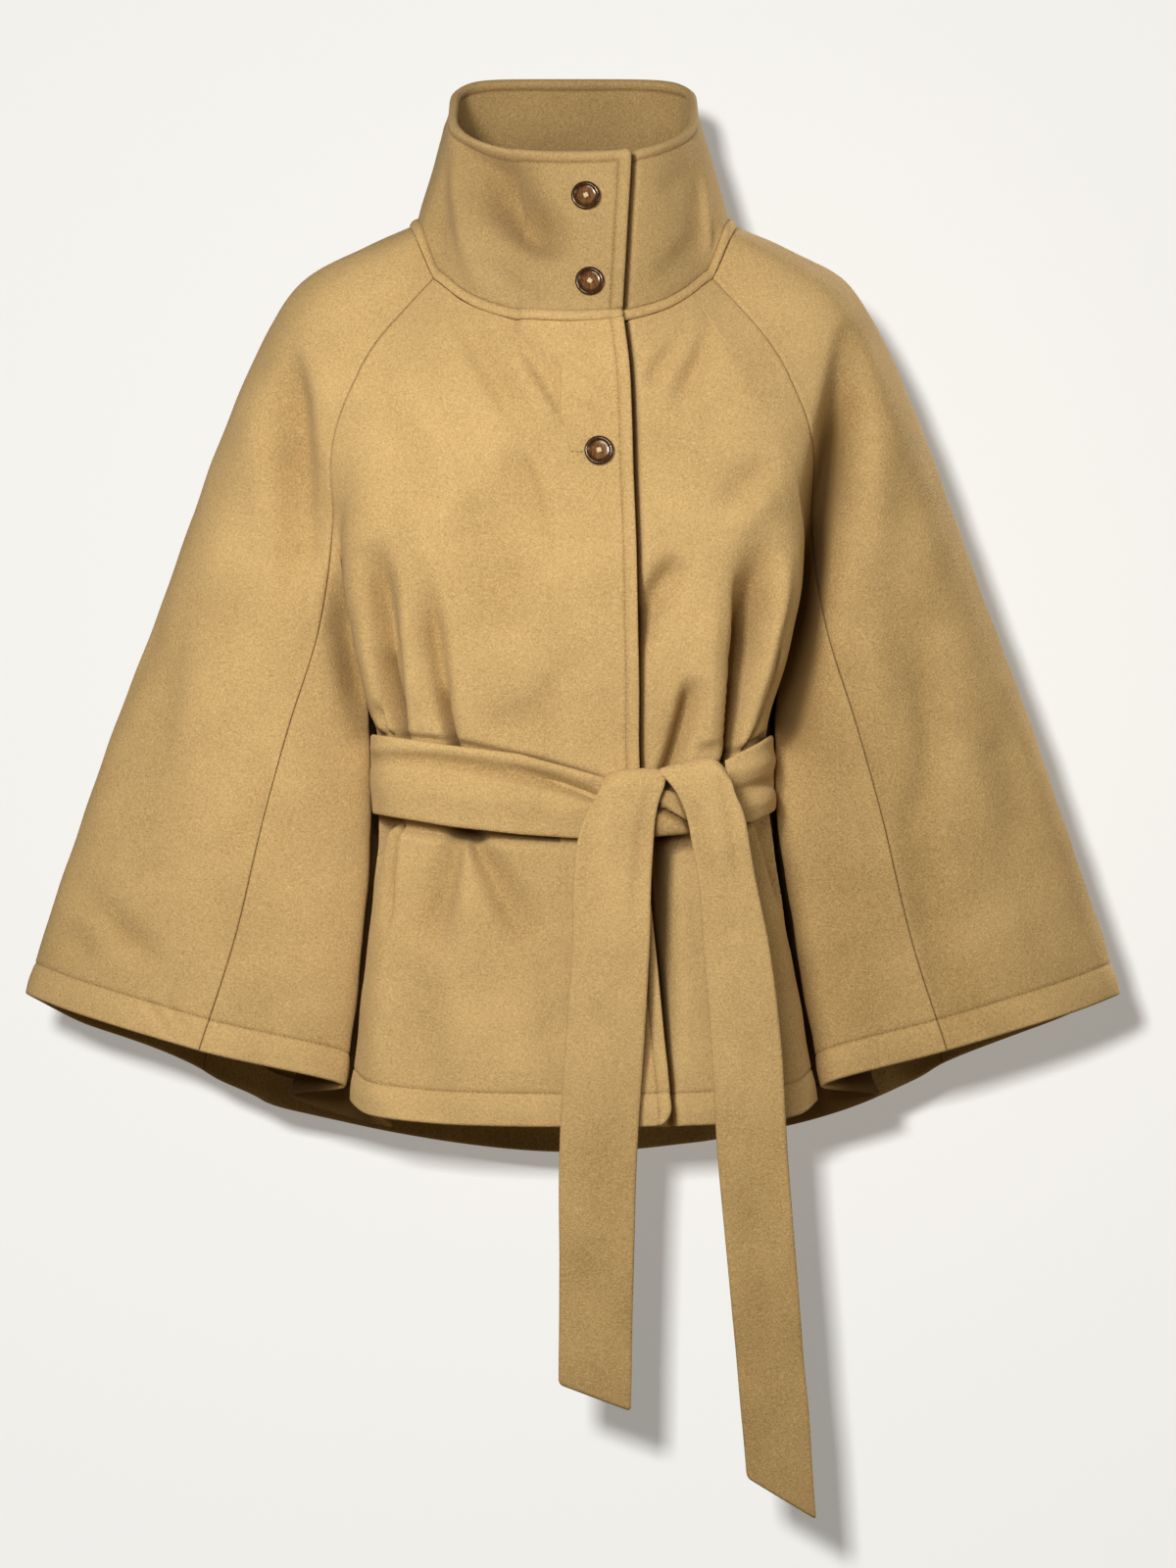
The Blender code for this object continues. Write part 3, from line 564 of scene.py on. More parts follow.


class Cut:
    """A panel's outer face between two stations, as rows and columns of points, with their
    normals, their distances to its four edges and how dark they are marked: seam lines and painted
    shade."""

    def __init__(self, first, last, right_stops=SEAM_STOPS, step=PANEL_STEP):
        across = np.linspace(first, last, round((last - first) * DENSE) + 1)
        down = np.linspace(0, HEM, HEM * DENSE + 1)
        face, normal = cloth_face(across, down)
        shape = face.shape[:2]
        places = (np.broadcast_to(across, shape), np.broadcast_to(down[:, None], shape))
        dense = np.concatenate((face, normal, np.stack(places, axis=-1)), axis=-1)
        grid = respread(dense, step, SEAM_STOPS, right_stops)
        grid = respread(np.swapaxes(grid, 0, 1), ROW_STEPS, NECK_STOPS, HEM_STOPS)
        grid = np.swapaxes(grid, 0, 1)
        self.points = grid[..., :3]
        self.normal = unit(grid[..., 3:6])
        self.across, self.down, self.left, self.right, self.top, self.foot = np.moveaxis(
            grid[..., 6:], -1, 0)
        back, _ = creases(self.points, HOLLOWS)
        back *= smoothstep((np.abs(self.across) - HOLLOW_FROM) / HOLLOW_RISE)
        back *= self.points[..., 1] < HOLLOW_ENDS
        self.points[..., 1] += back
        # Painted shade: the cloth in a hollow is painted darker the farther it lies back.
        self.pressed = np.clip(back / HOLLOW_SHADE_DEPTH, 0, 0.95)


def seen(points):
    """Where points show in the camera's picture, in mm on the plane through the origin."""
    farther = 1 - points[..., 1] / EYE[1]
    return (EYE[0] + (points[..., 0] - EYE[0]) / farther,
            EYE[2] + (points[..., 2] - EYE[2]) / farther)


CREASE_MARKS = 41      # points along a crease at which its line is known
SWELL = 0.4            # share of a crease's length over which it swells and fades
CREST_AT = 1.6         # where a leaning crest lies, in half-widths, and how wide it is
CREST_WIDE = 1.2


def creases(points, table):
    """Listed creases: depth at each point, and how far it is pushed sideways (+X).  Each
    runs along a bent line through its three points, and a crest may lean over it, from the
    left (plus) or from the right (minus)."""
    x, z = seen(points)
    depth = np.zeros(x.shape)
    push = np.zeros(x.shape)
    t = np.linspace(0, 1, CREASE_MARKS)
    weights = np.stack((2 * (t - 0.5) * (t - 1), 4 * t * (1 - t), 2 * t * (t - 0.5)), axis=-1)
    for x0, z0, x1, z1, x2, z2, left, right, narrow, amount, start, end, lean in table:
        line = weights @ np.array(((x0, z0), (x1, z1), (x2, z2)))
        steps = np.gradient(line, axis=0)
        way = unit(steps)
        margin = 3 * max(left, right)
        near = ((x > line[:, 0].min() - margin) & (x < line[:, 0].max() + margin)
                & (z > line[:, 1].min() - margin) & (z < line[:, 1].max() + margin))
        dx = x[near][:, None] - line[:, 0]
        dz = z[near][:, None] - line[:, 1]
        k = (dx ** 2 + dz ** 2).argmin(axis=1)
        dx, dz = dx[np.arange(len(k)), k], dz[np.arange(len(k)), k]
        aside = way[k, 0] * dz - way[k, 1] * dx
        ahead = way[k, 0] * dx + way[k, 1] * dz
        share = t[k] + ahead / np.linalg.norm(steps[k], axis=1) * t[1]
        outside = ahead * ((share < 0) | (share > 1))
        away = np.hypot(aside, outside)
        share = np.clip(share, 0, 1)
        tapered = 1 + (narrow - 1) * share
        width = left + (right - left) * smoothstep(0.5 + aside / (left + right))
        swell = ((start + (1 - start) * smoothstep(share / SWELL))
                 * (end + (1 - end) * smoothstep((1 - share) / SWELL)))
        depth[near] += amount * swell * np.exp(-(away / (width * tapered)) ** 2)
        if lean:
            crest = (left if lean > 0 else right) * tapered
            beside = (-aside / crest * math.copysign(1, lean) - CREST_AT) / CREST_WIDE
            past = outside / crest / 2
            push[near] += lean * swell * np.exp(-beside ** 2 - past ** 2)
    return depth, push


WAVES = 9


def unevenness(points, seed, amount, size):
    """Slight unevenness of hanging cloth: seeded waves of many lengths, about `size` mm."""
    dice = np.random.default_rng(seed)
    total = 0
    for _ in range(WAVES):
        way = unit(dice.normal(size=3))
        length = size * dice.uniform(0.7, 1.9)
        total = total + np.sin(points @ way * (2 * math.pi / length) + dice.uniform(0, 6.28))
    return amount * total / 3


def closeness(distance, reach):
    """0 on a rounded edge and 1 from `reach` mm inside it, as a quarter circle."""
    part = np.clip(distance / reach, 0, 1)
    return np.sqrt(1 - (1 - part) ** 2)


def groove(distance, width):
    """1 along a line, such as one of stitches, falling off within about `width` of it."""
    return np.exp(-(distance / width) ** 2)


def round_corner(points, side, foot, radius, way):
    """Bend one corner of a grid into an arc.  `side` and `foot` are the distances to its two
    edges, `way` the signs of the grid directions that lead out to them.  Gives the moved
    points and how far each lies from the arc."""
    u = np.clip(1 - side / radius, 0, 1)
    v = np.clip(1 - foot / radius, 0, 1)
    new_u = u * np.sqrt(1 - v * v / 2)
    new_v = v * np.sqrt(1 - u * u / 2)
    out_side = unit(np.gradient(points, axis=1)) * way[0]
    out_foot = unit(np.gradient(points, axis=0)) * way[1]
    moved = (points - out_side * ((u - new_u) * radius)[..., None]
             - out_foot * ((v - new_v) * radius)[..., None])
    return moved, radius * (1 - np.hypot(new_u, new_v))


def two_faces(middle, normal, half, close):
    """Outer and inner face of a wall, which meet where `close` is 0."""
    offset = normal * (half * close)[..., None]
    return middle + offset, middle - offset


def make_piece(name, vertices, faces, finish, pressed=None):
    """A smooth mesh from points in mm, at the origin, riding with the cape."""
    mesh = bpy.data.meshes.new(name)
    mesh.from_pydata((np.asarray(vertices) * MM).tolist(), [], faces)
    mesh.update()
    mesh.shade_smooth()
    mesh.materials.append(finish.material)
    if pressed is not None:
        values = mesh.attributes.new("pressed", "FLOAT", "POINT")
        values.data.foreach_set("value", np.asarray(pressed, np.float32))
    piece = bpy.data.objects.new(name, mesh)
    bpy.context.collection.objects.link(piece)
    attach(piece, "root")
    return piece


def make_cloth(name, faces_of, finish, pressed, gone=None, inner_painted_shade=0.5):
    """Close the two faces of a cloth into one shell.  Points that they share, as along a
    rounded edge, are one vertex; the rim of what is `gone`, a slit, gets a wall of its own."""
    outer, inner = faces_of
    rows, columns, _ = outer.shape
    count = rows * columns
    kept = np.ones((rows - 1, columns - 1), bool) if gone is None else ~gone
    shared = (np.linalg.norm(outer - inner, axis=-1) < 1e-6).ravel()
    front = np.arange(count)
    back = np.where(shared, front, front + count)
    r, c = np.nonzero(kept)
    ring = np.stack((r * columns + c, (r + 1) * columns + c,
                     (r + 1) * columns + c + 1, r * columns + c + 1), axis=-1)
    faces = ring.tolist() + back[ring[:, ::-1]].tolist()
    starts = ring.ravel()
    ends = np.roll(ring, -1, axis=1).ravel()
    rim = ~np.isin(starts * count + ends, ends * count + starts)
    for a, b in zip(starts[rim], ends[rim]):
        corners = [b, a] + [back[k] for k in (a, b) if not shared[k]]
        if len(corners) > 2:
            faces.append([int(k) for k in corners])
    used = np.zeros(2 * count, bool)
    used[[k for face in faces for k in face]] = True
    number = np.cumsum(used) - 1
    vertices = np.concatenate((outer.reshape(-1, 3), inner.reshape(-1, 3)))[used]
    # Painted shade: the inner face gets the outer face's marks and more, so the cape's inside is
    # painted darker.
    marks = np.concatenate((pressed.ravel(), pressed.ravel() + inner_painted_shade))[used]
    faces = [[int(number[k]) for k in face] for face in faces]
    piece = make_piece(name, vertices, faces, finish, marks)
    return piece


# What the wool's own colour is multiplied by, from painted shade in the deepest gaps to the tips of
# the nap.
DEEPEST_SHADE = (0.20, 0.15, 0.10)
DEEP = (0.60, 0.56, 0.48)
FAIR = (1.38, 1.42, 1.47)
NAP = 1.2              # how high the nap stands


def wool(name, colour):
    """Felted and napped coat wool: short matted fibres in tufts of two or three millimetres,
    darker along seams and stitch lines, fairer on the tips, with painted shade in folds, gaps and
    hollows and a painted highlight along hems and the collar's lip."""
    cloth = Finish(name, {"Roughness": 0.95, "Specular IOR Level": 0.10, "Sheen Weight": 0.16,
                          "Sheen Roughness": 0.5, "Sheen Tint": (1.0, 0.84, 0.58, 1)})
    place = cloth.node("TexCoord", {}, {}, "Object")
    tufts = cloth.node("TexNoise", {}, {"Vector": place, "Scale": 690.0, "Detail": 2.0,
                                        "Roughness": 0.55, "Distortion": 0.6})
    hairs = cloth.node("TexNoise", {}, {"Vector": place, "Scale": 1500.0, "Detail": 2.0,
                                        "Roughness": 0.7})
    cloud = cloth.node("TexNoise", {}, {"Vector": place, "Scale": 14.0, "Detail": 3.0})
    pressed = cloth.node("Attribute", dict(attribute_name="pressed"), {}, "Fac")
    # The mark attribute read here darkens seam and stitch lines and paints shade into folds, gaps and
    # hollows; below 0 it is a painted highlight.
    light = 0.5 + (tufts - 0.5) * 1.2 + (hairs - 0.5) * 0.5 + (cloud - 0.5) * 0.5 - pressed * 0.75
    share = cloth.node("Clamp", {}, {"Value": light})
    # Painted shade: the highest marks go on to the near-black colour of a gap in shadow.
    gap_painted_shade = cloth.node("Clamp", {}, {"Value": pressed * 1.3 - 0.75})
    deepest, deep, fair = [(*(value * factor for value, factor in zip(colour, factors)), 1)
                           for factors in (DEEPEST_SHADE, DEEP, FAIR)]
    cloth.feed("Base Color", cloth.blend(gap_painted_shade, cloth.blend(share, deep, fair), deepest))
    height = tufts * 0.65 + hairs * 0.35
    cloth.feed("Normal", cloth.node("Bump", {}, {"Height": height, "Distance": NAP * MM,
                                                 "Strength": 0.9}, "Normal"))
    return cloth


CAMEL = (0.570, 0.380, 0.161)
coat_wool = wool("coat_wool", CAMEL)

thread = Finish("thread", {"Roughness": 0.8, "Sheen Weight": 0.2})
winding = thread.node("TexNoise", {}, {"Vector": thread.node("TexCoord", {}, {}, "Object"),
                                       "Scale": 900.0})
thread.feed("Base Color", thread.blend(winding, (0.19, 0.105, 0.035, 1), (0.36, 0.215, 0.08, 1)))


def tube_faces(rings, sides, base=0):
    """Faces of a closed tube, whose points run ring by ring from number `base` on."""
    faces = []
    for low in range(base, base + (rings - 1) * sides, sides):
        for k in range(sides):
            n = (k + 1) % sides
            faces.append([low + k, low + n, low + sides + n, low + sides + k])
    faces.append([base + k for k in reversed(range(sides))])
    faces.append([base + (rings - 1) * sides + k for k in range(sides)])
    return faces


STITCH_PITCH = 3.4
STITCH_LONG = 2.7
STITCH_THICK = 0.55
# One stitch: share of its length, share of its thickness, height above the cloth.
STITCH_RINGS = ((-0.5, 0.35, -0.30), (-0.26, 1.0, 0.0), (0.26, 1.0, 0.0), (0.5, 0.35, -0.30))
STITCH_SIDES = 5


def stitching(name, lines, sink=0.05, yarn=thread):
    """Lockstitches along lines of (points, normals), as one mesh of small capsules that are
    sunk into the cloth."""
    vertices, faces = [], []
    for points, normals in lines:
        run = np.concatenate(([0], np.cumsum(np.linalg.norm(np.diff(points, axis=0), axis=1))))
        middles = np.arange(STITCH_PITCH / 2, run[-1], STITCH_PITCH)
        spot = [np.stack([np.interp(at, run, points[:, k]) for k in range(3)], axis=-1)
                for at in (middles - STITCH_LONG / 2, middles, middles + STITCH_LONG / 2)]
        normal = unit(np.stack([np.interp(middles, run, normals[:, k]) for k in range(3)], axis=-1))
        along = unit(spot[2] - spot[0])
        beside = np.cross(along, normal)
        for here, way, side, up in zip(spot[1], along, beside, normal):
            base = len(vertices)
            for share, thickness, height in STITCH_RINGS:
                for k in range(STITCH_SIDES):
                    turn = 2 * math.pi * k / STITCH_SIDES
                    round_it = side * math.cos(turn) + up * math.sin(turn)
                    vertices.append(here + way * (share * STITCH_LONG) + up * (height - sink)
                                    + round_it * (thickness * STITCH_THICK / 2))
            faces += tube_faces(len(STITCH_RINGS), STITCH_SIDES, base)
    piece = make_piece(name, vertices, faces, yarn)
    return piece


PLACKET_STITCH = 9.5   # from the right front's edge
HEM_STITCH = 25.0      # above the lower edge, where the turned-up hem is caught
HEM_TURN = 1.8         # extra thickness inside, as deep as the hem is turned up
SEAM_TURN = 1.6        # extra thickness inside along a seam, where its allowances lie
SEAM_SPREAD = 9.0      # how wide those lie
SEAM_REACH = 1.0       # how far in a seam's edge is rolled down
NECK_REACH = 1.3       # and the edge at the neck
STITCH_SINK = 0.8      # how deep a line of stitches pulls the cloth in
CORNER = 15.0          # radius of the placket's lower corner
SLIT = (5.05, 5.5)     # the belt goes through the side between these stations
CREASE_SHADE_DEPTH = 48.0     # depth at which a crease's painted shade is full
CREASE_TURN = 0.4      # creases fade out where the cloth turns this far from sideways
CREASE_CALM = 7.0      # and this close to a seam, and their crests this close
CREST_CALM = 12.0
FOLD_SHADE = (4.7, 7.0)      # stations between which the deep fold lies, painted in shade
TORSO_REACH = 4.6      # stations that count as the front of the torso
BELT_HOLDS = (6.85, 8.15)   # levels between which the belt presses the front flat
UNEVEN = dict(seed=4, amount=0.55, size=52.0)


def row_at(distances, wanted):
    """Number of the row or column whose own distance comes nearest to the wanted one."""
    return int(np.argmin(np.abs(distances - wanted)))


def hang(cut, table, seams, behind):
    """Depth of a panel's creases and unevenness, and how far they push it sideways.  Shade is
    painted into the cloth in them and in the deep fold under the arm."""
    away = np.abs(cut.across)
    front = away < TORSO_REACH
    facing = cut.normal[..., 1] * (1 if behind else -1)
    facing = np.where(front, facing > 0, smoothstep(facing / CREASE_TURN))
    counts = facing * (behind | front | (away > RAGLAN_FRONT_AT))
    depth, push = (value * counts for value in creases(cut.points, table))
    for beside in seams:
        depth = depth * smoothstep(beside / CREASE_CALM)
        push = push * smoothstep(beside / CREST_CALM)
    first, last = BELT_HOLDS
    tucked = front * smoothstep((cut.down - first) / 0.2) * smoothstep((last - cut.down) / 0.2)
    depth = np.where(depth > 0, depth * (1 - tucked), depth)
    depth = depth + unevenness(cut.points, **UNEVEN) * (1 - 0.8 * tucked)
    # Painted shade: the cloth is darkened by the depth of its creases, and almost through in the deep
    # fold under the arm.
    cut.pressed += np.clip(-depth / CREASE_SHADE_DEPTH, 0, 0.75)
    inside_fold = smoothstep((away - FOLD_SHADE[0]) / 0.4) * smoothstep((FOLD_SHADE[1] - away) / 0.6)
    cut.pressed += 1.05 * inside_fold * smoothstep(cut.down - FOLD_FROM)
    return depth, push


def belt_slit(cut):
    """The faces that are left out where the belt goes through the side."""
    away = np.abs(cut.across)
    hole = (away > SLIT[0]) & (away < SLIT[1])
    hole &= (cut.down > BELT_TOP - 0.1) & (cut.down < BELT_FOOT + 0.1)
    return hole[:-1, :-1] & hole[1:, 1:] if hole.any() else None


def sew_panel(name, cut, table, lift=0.0, seams=("left", "right"), behind=False,
              placket=False):
    """One panel as a closed shell on its cut's face, with creases, rolled seams, a turned hem
    and, on the right front, a topstitched placket with a round corner."""
    seams = [getattr(cut, side) for side in seams]
    depth, push = hang(cut, table, seams, behind)
    hem = 1 - smoothstep((cut.foot - HEM_STITCH - 0.5) / 2.0)
    allowance = HEM_TURN * hem
    for beside in seams:
        allowance = allowance + SEAM_TURN * (1 - hem) * (1 - smoothstep((beside - SEAM_SPREAD) / 2))
        cut.pressed += 0.22 * groove(beside, 0.9)
        depth = depth + 0.45 * groove(beside - 3.6, 2.4)
    stitched = groove(cut.foot - HEM_STITCH, 1.1)
    depth = depth + lift - STITCH_SINK * stitched + groove(cut.foot - 0.5 * HEM_STITCH, 9.0)
    # The hem's stitch line is darker; the turned-up hem band is painted lighter, a painted highlight.
    cut.pressed += 0.42 * stitched - 0.14 * hem
    points = cut.points + push[..., None] * np.array((1.0, 0, 0))
    close = closeness(cut.left, SEAM_REACH) * closeness(cut.top, NECK_REACH)
    half = (CLOTH + allowance) / 2
    if placket:
        points, edge = round_corner(points, cut.right, cut.foot, CORNER, (1, 1))
        rounded = (cut.right < CORNER) & (cut.foot < CORNER)
        plain = closeness(cut.right, half) * closeness(cut.foot, half)
        close = close * np.where(rounded, closeness(edge, half), plain)
        line = groove(cut.right - PLACKET_STITCH, 1.0)
        depth += 0.9 * groove(cut.right - 0.45 * PLACKET_STITCH, 3.2) - STITCH_SINK * line
        cut.pressed += 0.28 * line
    else:
        close = close * closeness(cut.right, SEAM_REACH) * closeness(cut.foot, half)
    middle = points + cut.normal * (depth - half)[..., None]
    faces_of = two_faces(middle, cut.normal, half, close)
    piece = make_cloth("cloth_" + name, faces_of, coat_wool, cut.pressed, belt_slit(cut))
    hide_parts(name)
    cut.outer = faces_of[0]
    hem_row = row_at(cut.foot[:, 0], HEM_STITCH)
    lines = [(cut.outer[hem_row], cut.normal[hem_row])]
    if placket:
        column = row_at(cut.right[0], PLACKET_STITCH)
        stop = row_at(cut.foot[:, column], 3.0)
        start = row_at(cut.top[:, column], 2.0)
        lines = [(cut.outer[hem_row, :column], cut.normal[hem_row, :column]),
                 (cut.outer[start:stop, column], cut.normal[start:stop, column])]
    rows_of_thread = stitching(name + "_stitching", lines)


RIGHT_CREASES = (
    (-154, -222, -144, -285, -131, -378, 16, 12, 0.35, -17, 0, 1, 0),
    (-146, -305, -138.5, -345, -128.5, -381, 6, 2.6, 0.6, -21, 0, 1, -3.5),
    (-131, -235, -128, -315, -122, -382, 4.5, 16, 0.6, 4.5, 0, 0.9, 0),
    (-163, -262, -154, -330, -138.5, -380, 7, 6, 0.8, 5, 0.2, 1, 0),
    (-148.5, -345, -145, -364, -140, -381, 1.9, 1.9, 0.9, -6, 0, 1, 0),
    (-114, -235, -104, -318, -90, -388, 14, 10, 0.35, -14, 0, 1, 0),
    (-100, -338, -95, -364, -88.5, -390, 6, 2.4, 0.8, -9, 0, 1, -2),
    (-72, -384, -34, -352, 2, -296, 26, 20, 1, -6, 0.3, 0, 0),
    (-60, -366, -30, -335, -8, -300, 13, 13, 1, 3.5, 0, 0, 0),
    (-89, -49, -60, -102, -20, -170, 9, 10, 1.2, -7, 0.3, 0, 0),
    (-47.3, -65, -20, -106, 2, -146, 6, 8, 1, -7, 0.3, 0, 0),
    (-31, -78, -2.8, -103, 33, -127, 8, 9, 1, -6, 0.2, 0.1, 0),
    (-20, -62, 8, -80, 34, -98, 9, 8, 1, -2.6, 0.2, 0, 0),
    (-56, -150, -33, -190, -19, -270, 16, 8, 1.3, -8, 0, 0, 0),
    (-86, -190, -64, -235, -48, -322, 26, 22, 1, -8, 0, 0, 0),
    (-150, -90, -122, -159, -106, -220, 15, 13, 1, -4.6, 0, 0, 0),
    (-130, -175, -110, -240, -102, -300, 14, 12, 1, 4.2, 0, 0, 0),
    (-88, -448, -97, -490, -114, -560, 8, 5, 2.6, -10, 1, 0, 0),
    (-81, -448, -57, -494, -24, -552, 5, 8, 2.8, -12, 1, 0, 0),
    (-86, -480, -82, -520, -76, -580, 8, 8, 2, 3.5, 0, 0, 0),
    (-93, -448, -84, -450, -74, -452, 5, 5, 1, -9, 1, 1, 0),
    (-156, -436, -86, -449.5, 40, -451.5, 5.5, 4.5, 1, -9, 1, 1, 0),
    (-156, -374.5, -68, -387, 20, -410.5, 3.6, 3.6, 1, -6, 1, 1, 0),
    (-134, -439, -138, -470, -142, -530, 6, 2, 1, -15, 1, 0, -2),
    (-145, -439, -150, -462, -155, -500, 4.5, 2, 1, -10, 1, 0, 0),
    (-116, -540, -113, -585, -116, -655, 16, 15, 1.2, -6, 0, 0.6, 0),
    (-142, -500, -148, -570, -152, -650, 10, 12, 1, 3.6, 0, 0.8, 0),
    (-50, -570, -44, -615, -46, -660, 18, 18, 1, 4, 0, 0.6, 0),
)
LEFT_CREASES = (
    (146, -212, 135, -300, 118.5, -396, 17, 15, 0.40, -24, 0, 1, 0),
    (130, -245, 119.5, -318, 115, -398, 3.6, 12, 0.60, -21, 0, 1, 5.5),
    (111, -250, 106, -325, 105, -398, 18, 5, 0.8, 6, 0, 0.9, 0),
    (166, -226, 153, -300, 125, -390, 8, 6, 0.75, 7, 0, 0.9, 0),
    (161, -300, 150.5, -341, 133.5, -384, 2, 2.8, 0.9, -11, 0, 1, 1.5),
    (93, -325, 83, -366, 70, -404, 8, 12, 0.7, -17, 0, 1, 2),
    (86, -234, 67, -262, 50, -292, 9, 12, 1.2, -14, 0, 0.8, 0),
    (106, -58, 95, -90, 71, -132, 7, 8, 1.1, -7, 0.3, 0, 0),
    (86, -64, 68, -90, 54, -112, 6, 7, 1, -5, 0.3, 0, 0),
    (160, -158, 134, -182, 106, -206, 12, 12, 1, -5, 0, 0, 0),
    (160, -190, 138, -205, 114, -228, 11, 11, 1, 3.6, 0, 0, 0),
    (106, -446, 130, -438, 152, -431, 4.5, 5.5, 1, -6, 1, 1, 0),
    (108, -400, 130, -388, 150, -376, 3.6, 3.6, 1, -6, 1, 1, 0),
    (54, -246, 54, -290, 52, -340, 5, 8, 1, -5, 0, 0, 0),
    (140.2, -440, 150, -472.5, 160, -510, 2.2, 6, 1, -12, 1, 0, 1.5),
    (147.8, -440, 156.8, -465, 164.2, -492, 2.2, 5, 1, -9, 1, 0, 0),
    (150, -510, 154.5, -551.2, 158.2, -592.5, 10, 10, 1, -4, 0, 0, 0),
    (67, -440, 68.4, -532.5, 70, -640, 9, 9, 1, -17, 1, 0.5, 0),
)
PLACKET_STAND = 3.2    # how far the right front's free edge stands off the left front
STAND_REACH = 8.0      # how far in from the edge it does
LAP_DIP = 10.0         # how deep the lower layer dips beside it
NECK_LAP = 3.4         # how much farther out the upper front lies over the neck's roll
BELT_FLANK_SHADE = 0.42      # painted shade on the torso's side above the belt, where it turns back
# Under and over the belt the cloth is painted in shade: x and z as seen, along its two edges.
UNDER_BELT = ((-150, -436), (-94, -445.5), (-26, -451.5), (40, -451.5), (106, -449),
              (134, -441), (150, -431))
OVER_BELT = ((-150, -374.5), (-113, -382), (-30, -392.5), (21, -409.5), (104, -400), (148, -376))


def painted_shade_by_belt(cut):
    """Painted shade on the cloth close to the belt's two edges."""
    x, z = seen(cut.points)
    below = z - np.interp(x, *np.array(UNDER_BELT, float).T)
    above = z - np.interp(x, *np.array(OVER_BELT, float).T)
    near = 0.95 * groove(below + 0.5, 3.4) + 0.6 * groove(above, 2.6)
    return near * (np.abs(cut.across) < TORSO_REACH)


def stand_off(to_edge):
    """How far what laps over stands out near its free edge."""
    return PLACKET_STAND * groove(to_edge, STAND_REACH)


right = Cut(-RAGLAN_FRONT_AT, LAP_EDGE, right_stops=PLACKET_STOPS,
            step=(6.5, 6.5, 7.0, 5.2, 2.6, 2.4, 2.5, 2.9, 2.9))
under_hem = HEM_TURN * (1 - smoothstep((right.foot - 40) / 30))
over = lap(right.across, CLOTH + LAP_CLEAR + under_hem)
over = over + lap(right.across, NECK_LAP) * groove(right.top, 24.0) + stand_off(right.right)
# Painted shade along the belt's edges, and on the torso's side above the belt.
right.pressed += painted_shade_by_belt(right)
flank = smoothstep((-right.across - 3.3) / 0.9) * smoothstep((TORSO_REACH + right.across) / 0.3)
flank = flank * smoothstep((right.down - 4.2) / 0.9) * smoothstep((6.8 - right.down) / 0.8)
right.pressed += BELT_FLANK_SHADE * flank
sew_panel("front_right", right, RIGHT_CREASES, lift=over, seams=("left",),
          placket=True)


def nearest(face, x, z, hidden=False):
    """Row and column of a face's point that lies nearest to x and z, as seen from the front,
    and isn't one of the `hidden` ones."""
    away = (face[..., 0] - x) ** 2 + (face[..., 2] - z) ** 2 + np.where(hidden, np.inf, 0)
    return np.unravel_index(np.argmin(away), away.shape)


# The chest button's hole: a short row of dark stitches that runs in under the button.
BUTTONHOLE = dict(first=-2.0, last=14.0, height=-165.8)
dark_thread = Finish("dark_thread", {"Roughness": 0.8, "Base Color": (0.075, 0.036, 0.012, 1)})
hole_x = np.linspace(BUTTONHOLE["first"], BUTTONHOLE["last"], 12)
spots = [nearest(right.outer, x, BUTTONHOLE["height"]) for x in hole_x]
hole_y = np.linspace(right.outer[spots[0]][1], right.outer[spots[-1]][1], len(spots)) - 0.1
hole_line = np.stack((hole_x, hole_y, np.full(len(spots), BUTTONHOLE["height"])), axis=-1)
stitching("buttonhole", [(hole_line, np.array([right.normal[spot] for spot in spots]))],
          sink=-0.12, yarn=dark_thread)


def beyond_lap(points, across):
    """How far each point of a lower layer lies past the free edge that laps over it."""
    edge = [np.interp(LAP_EDGE, row, x) for row, x in zip(across, points[..., 0])]
    return points[..., 0] - np.array(edge)[:, None]


# Below the knot, the left tail's shadow is painted on the gap between the tails from x = 48 to
# 78, and ever less to the hem.  The lap's shadow is painted beside it, and shade on the sleeve's side
# of the fold.
TAIL_SHADOW = 0.8
LAP_SHADOW = 1.0
FOLD_SIDE_SHADE = 0.36

left = Cut(UNDER_END, RAGLAN_FRONT_AT, step=(3.0, 2.7, 2.4, 2.2, 2.4, 4.8, 7.0, 6.5, 6.5))
past = beyond_lap(left.points, left.across)
dip = -LAP_DIP * groove(past - 1.2, np.where(past > 1.2, 3.0, 7.0))
# Painted shadow beside the lap's edge, painted shade along the belt and beside the fold, and the left
# tail's painted shadow in the gap between the tails.
left.pressed += LAP_SHADOW * groove(past - 0.8, 2.6) + painted_shade_by_belt(left)
beside_fold = groove(left.across - 7.6, 0.45) * smoothstep((left.down - 4.5) / 2.0)
left.pressed += FOLD_SIDE_SHADE * beside_fold
seen_x, seen_z = seen(left.points)
tail_shadow_mask = smoothstep((78 - seen_x) / 12) * smoothstep((seen_x - 48) / 8)
tail_shadow_mask = tail_shadow_mask * smoothstep((-436 - seen_z) / 10) * smoothstep((seen_z + 690) / 180)
left.pressed += TAIL_SHADOW * tail_shadow_mask
sew_panel("front_left", left, LEFT_CREASES, lift=dip, seams=("right",))

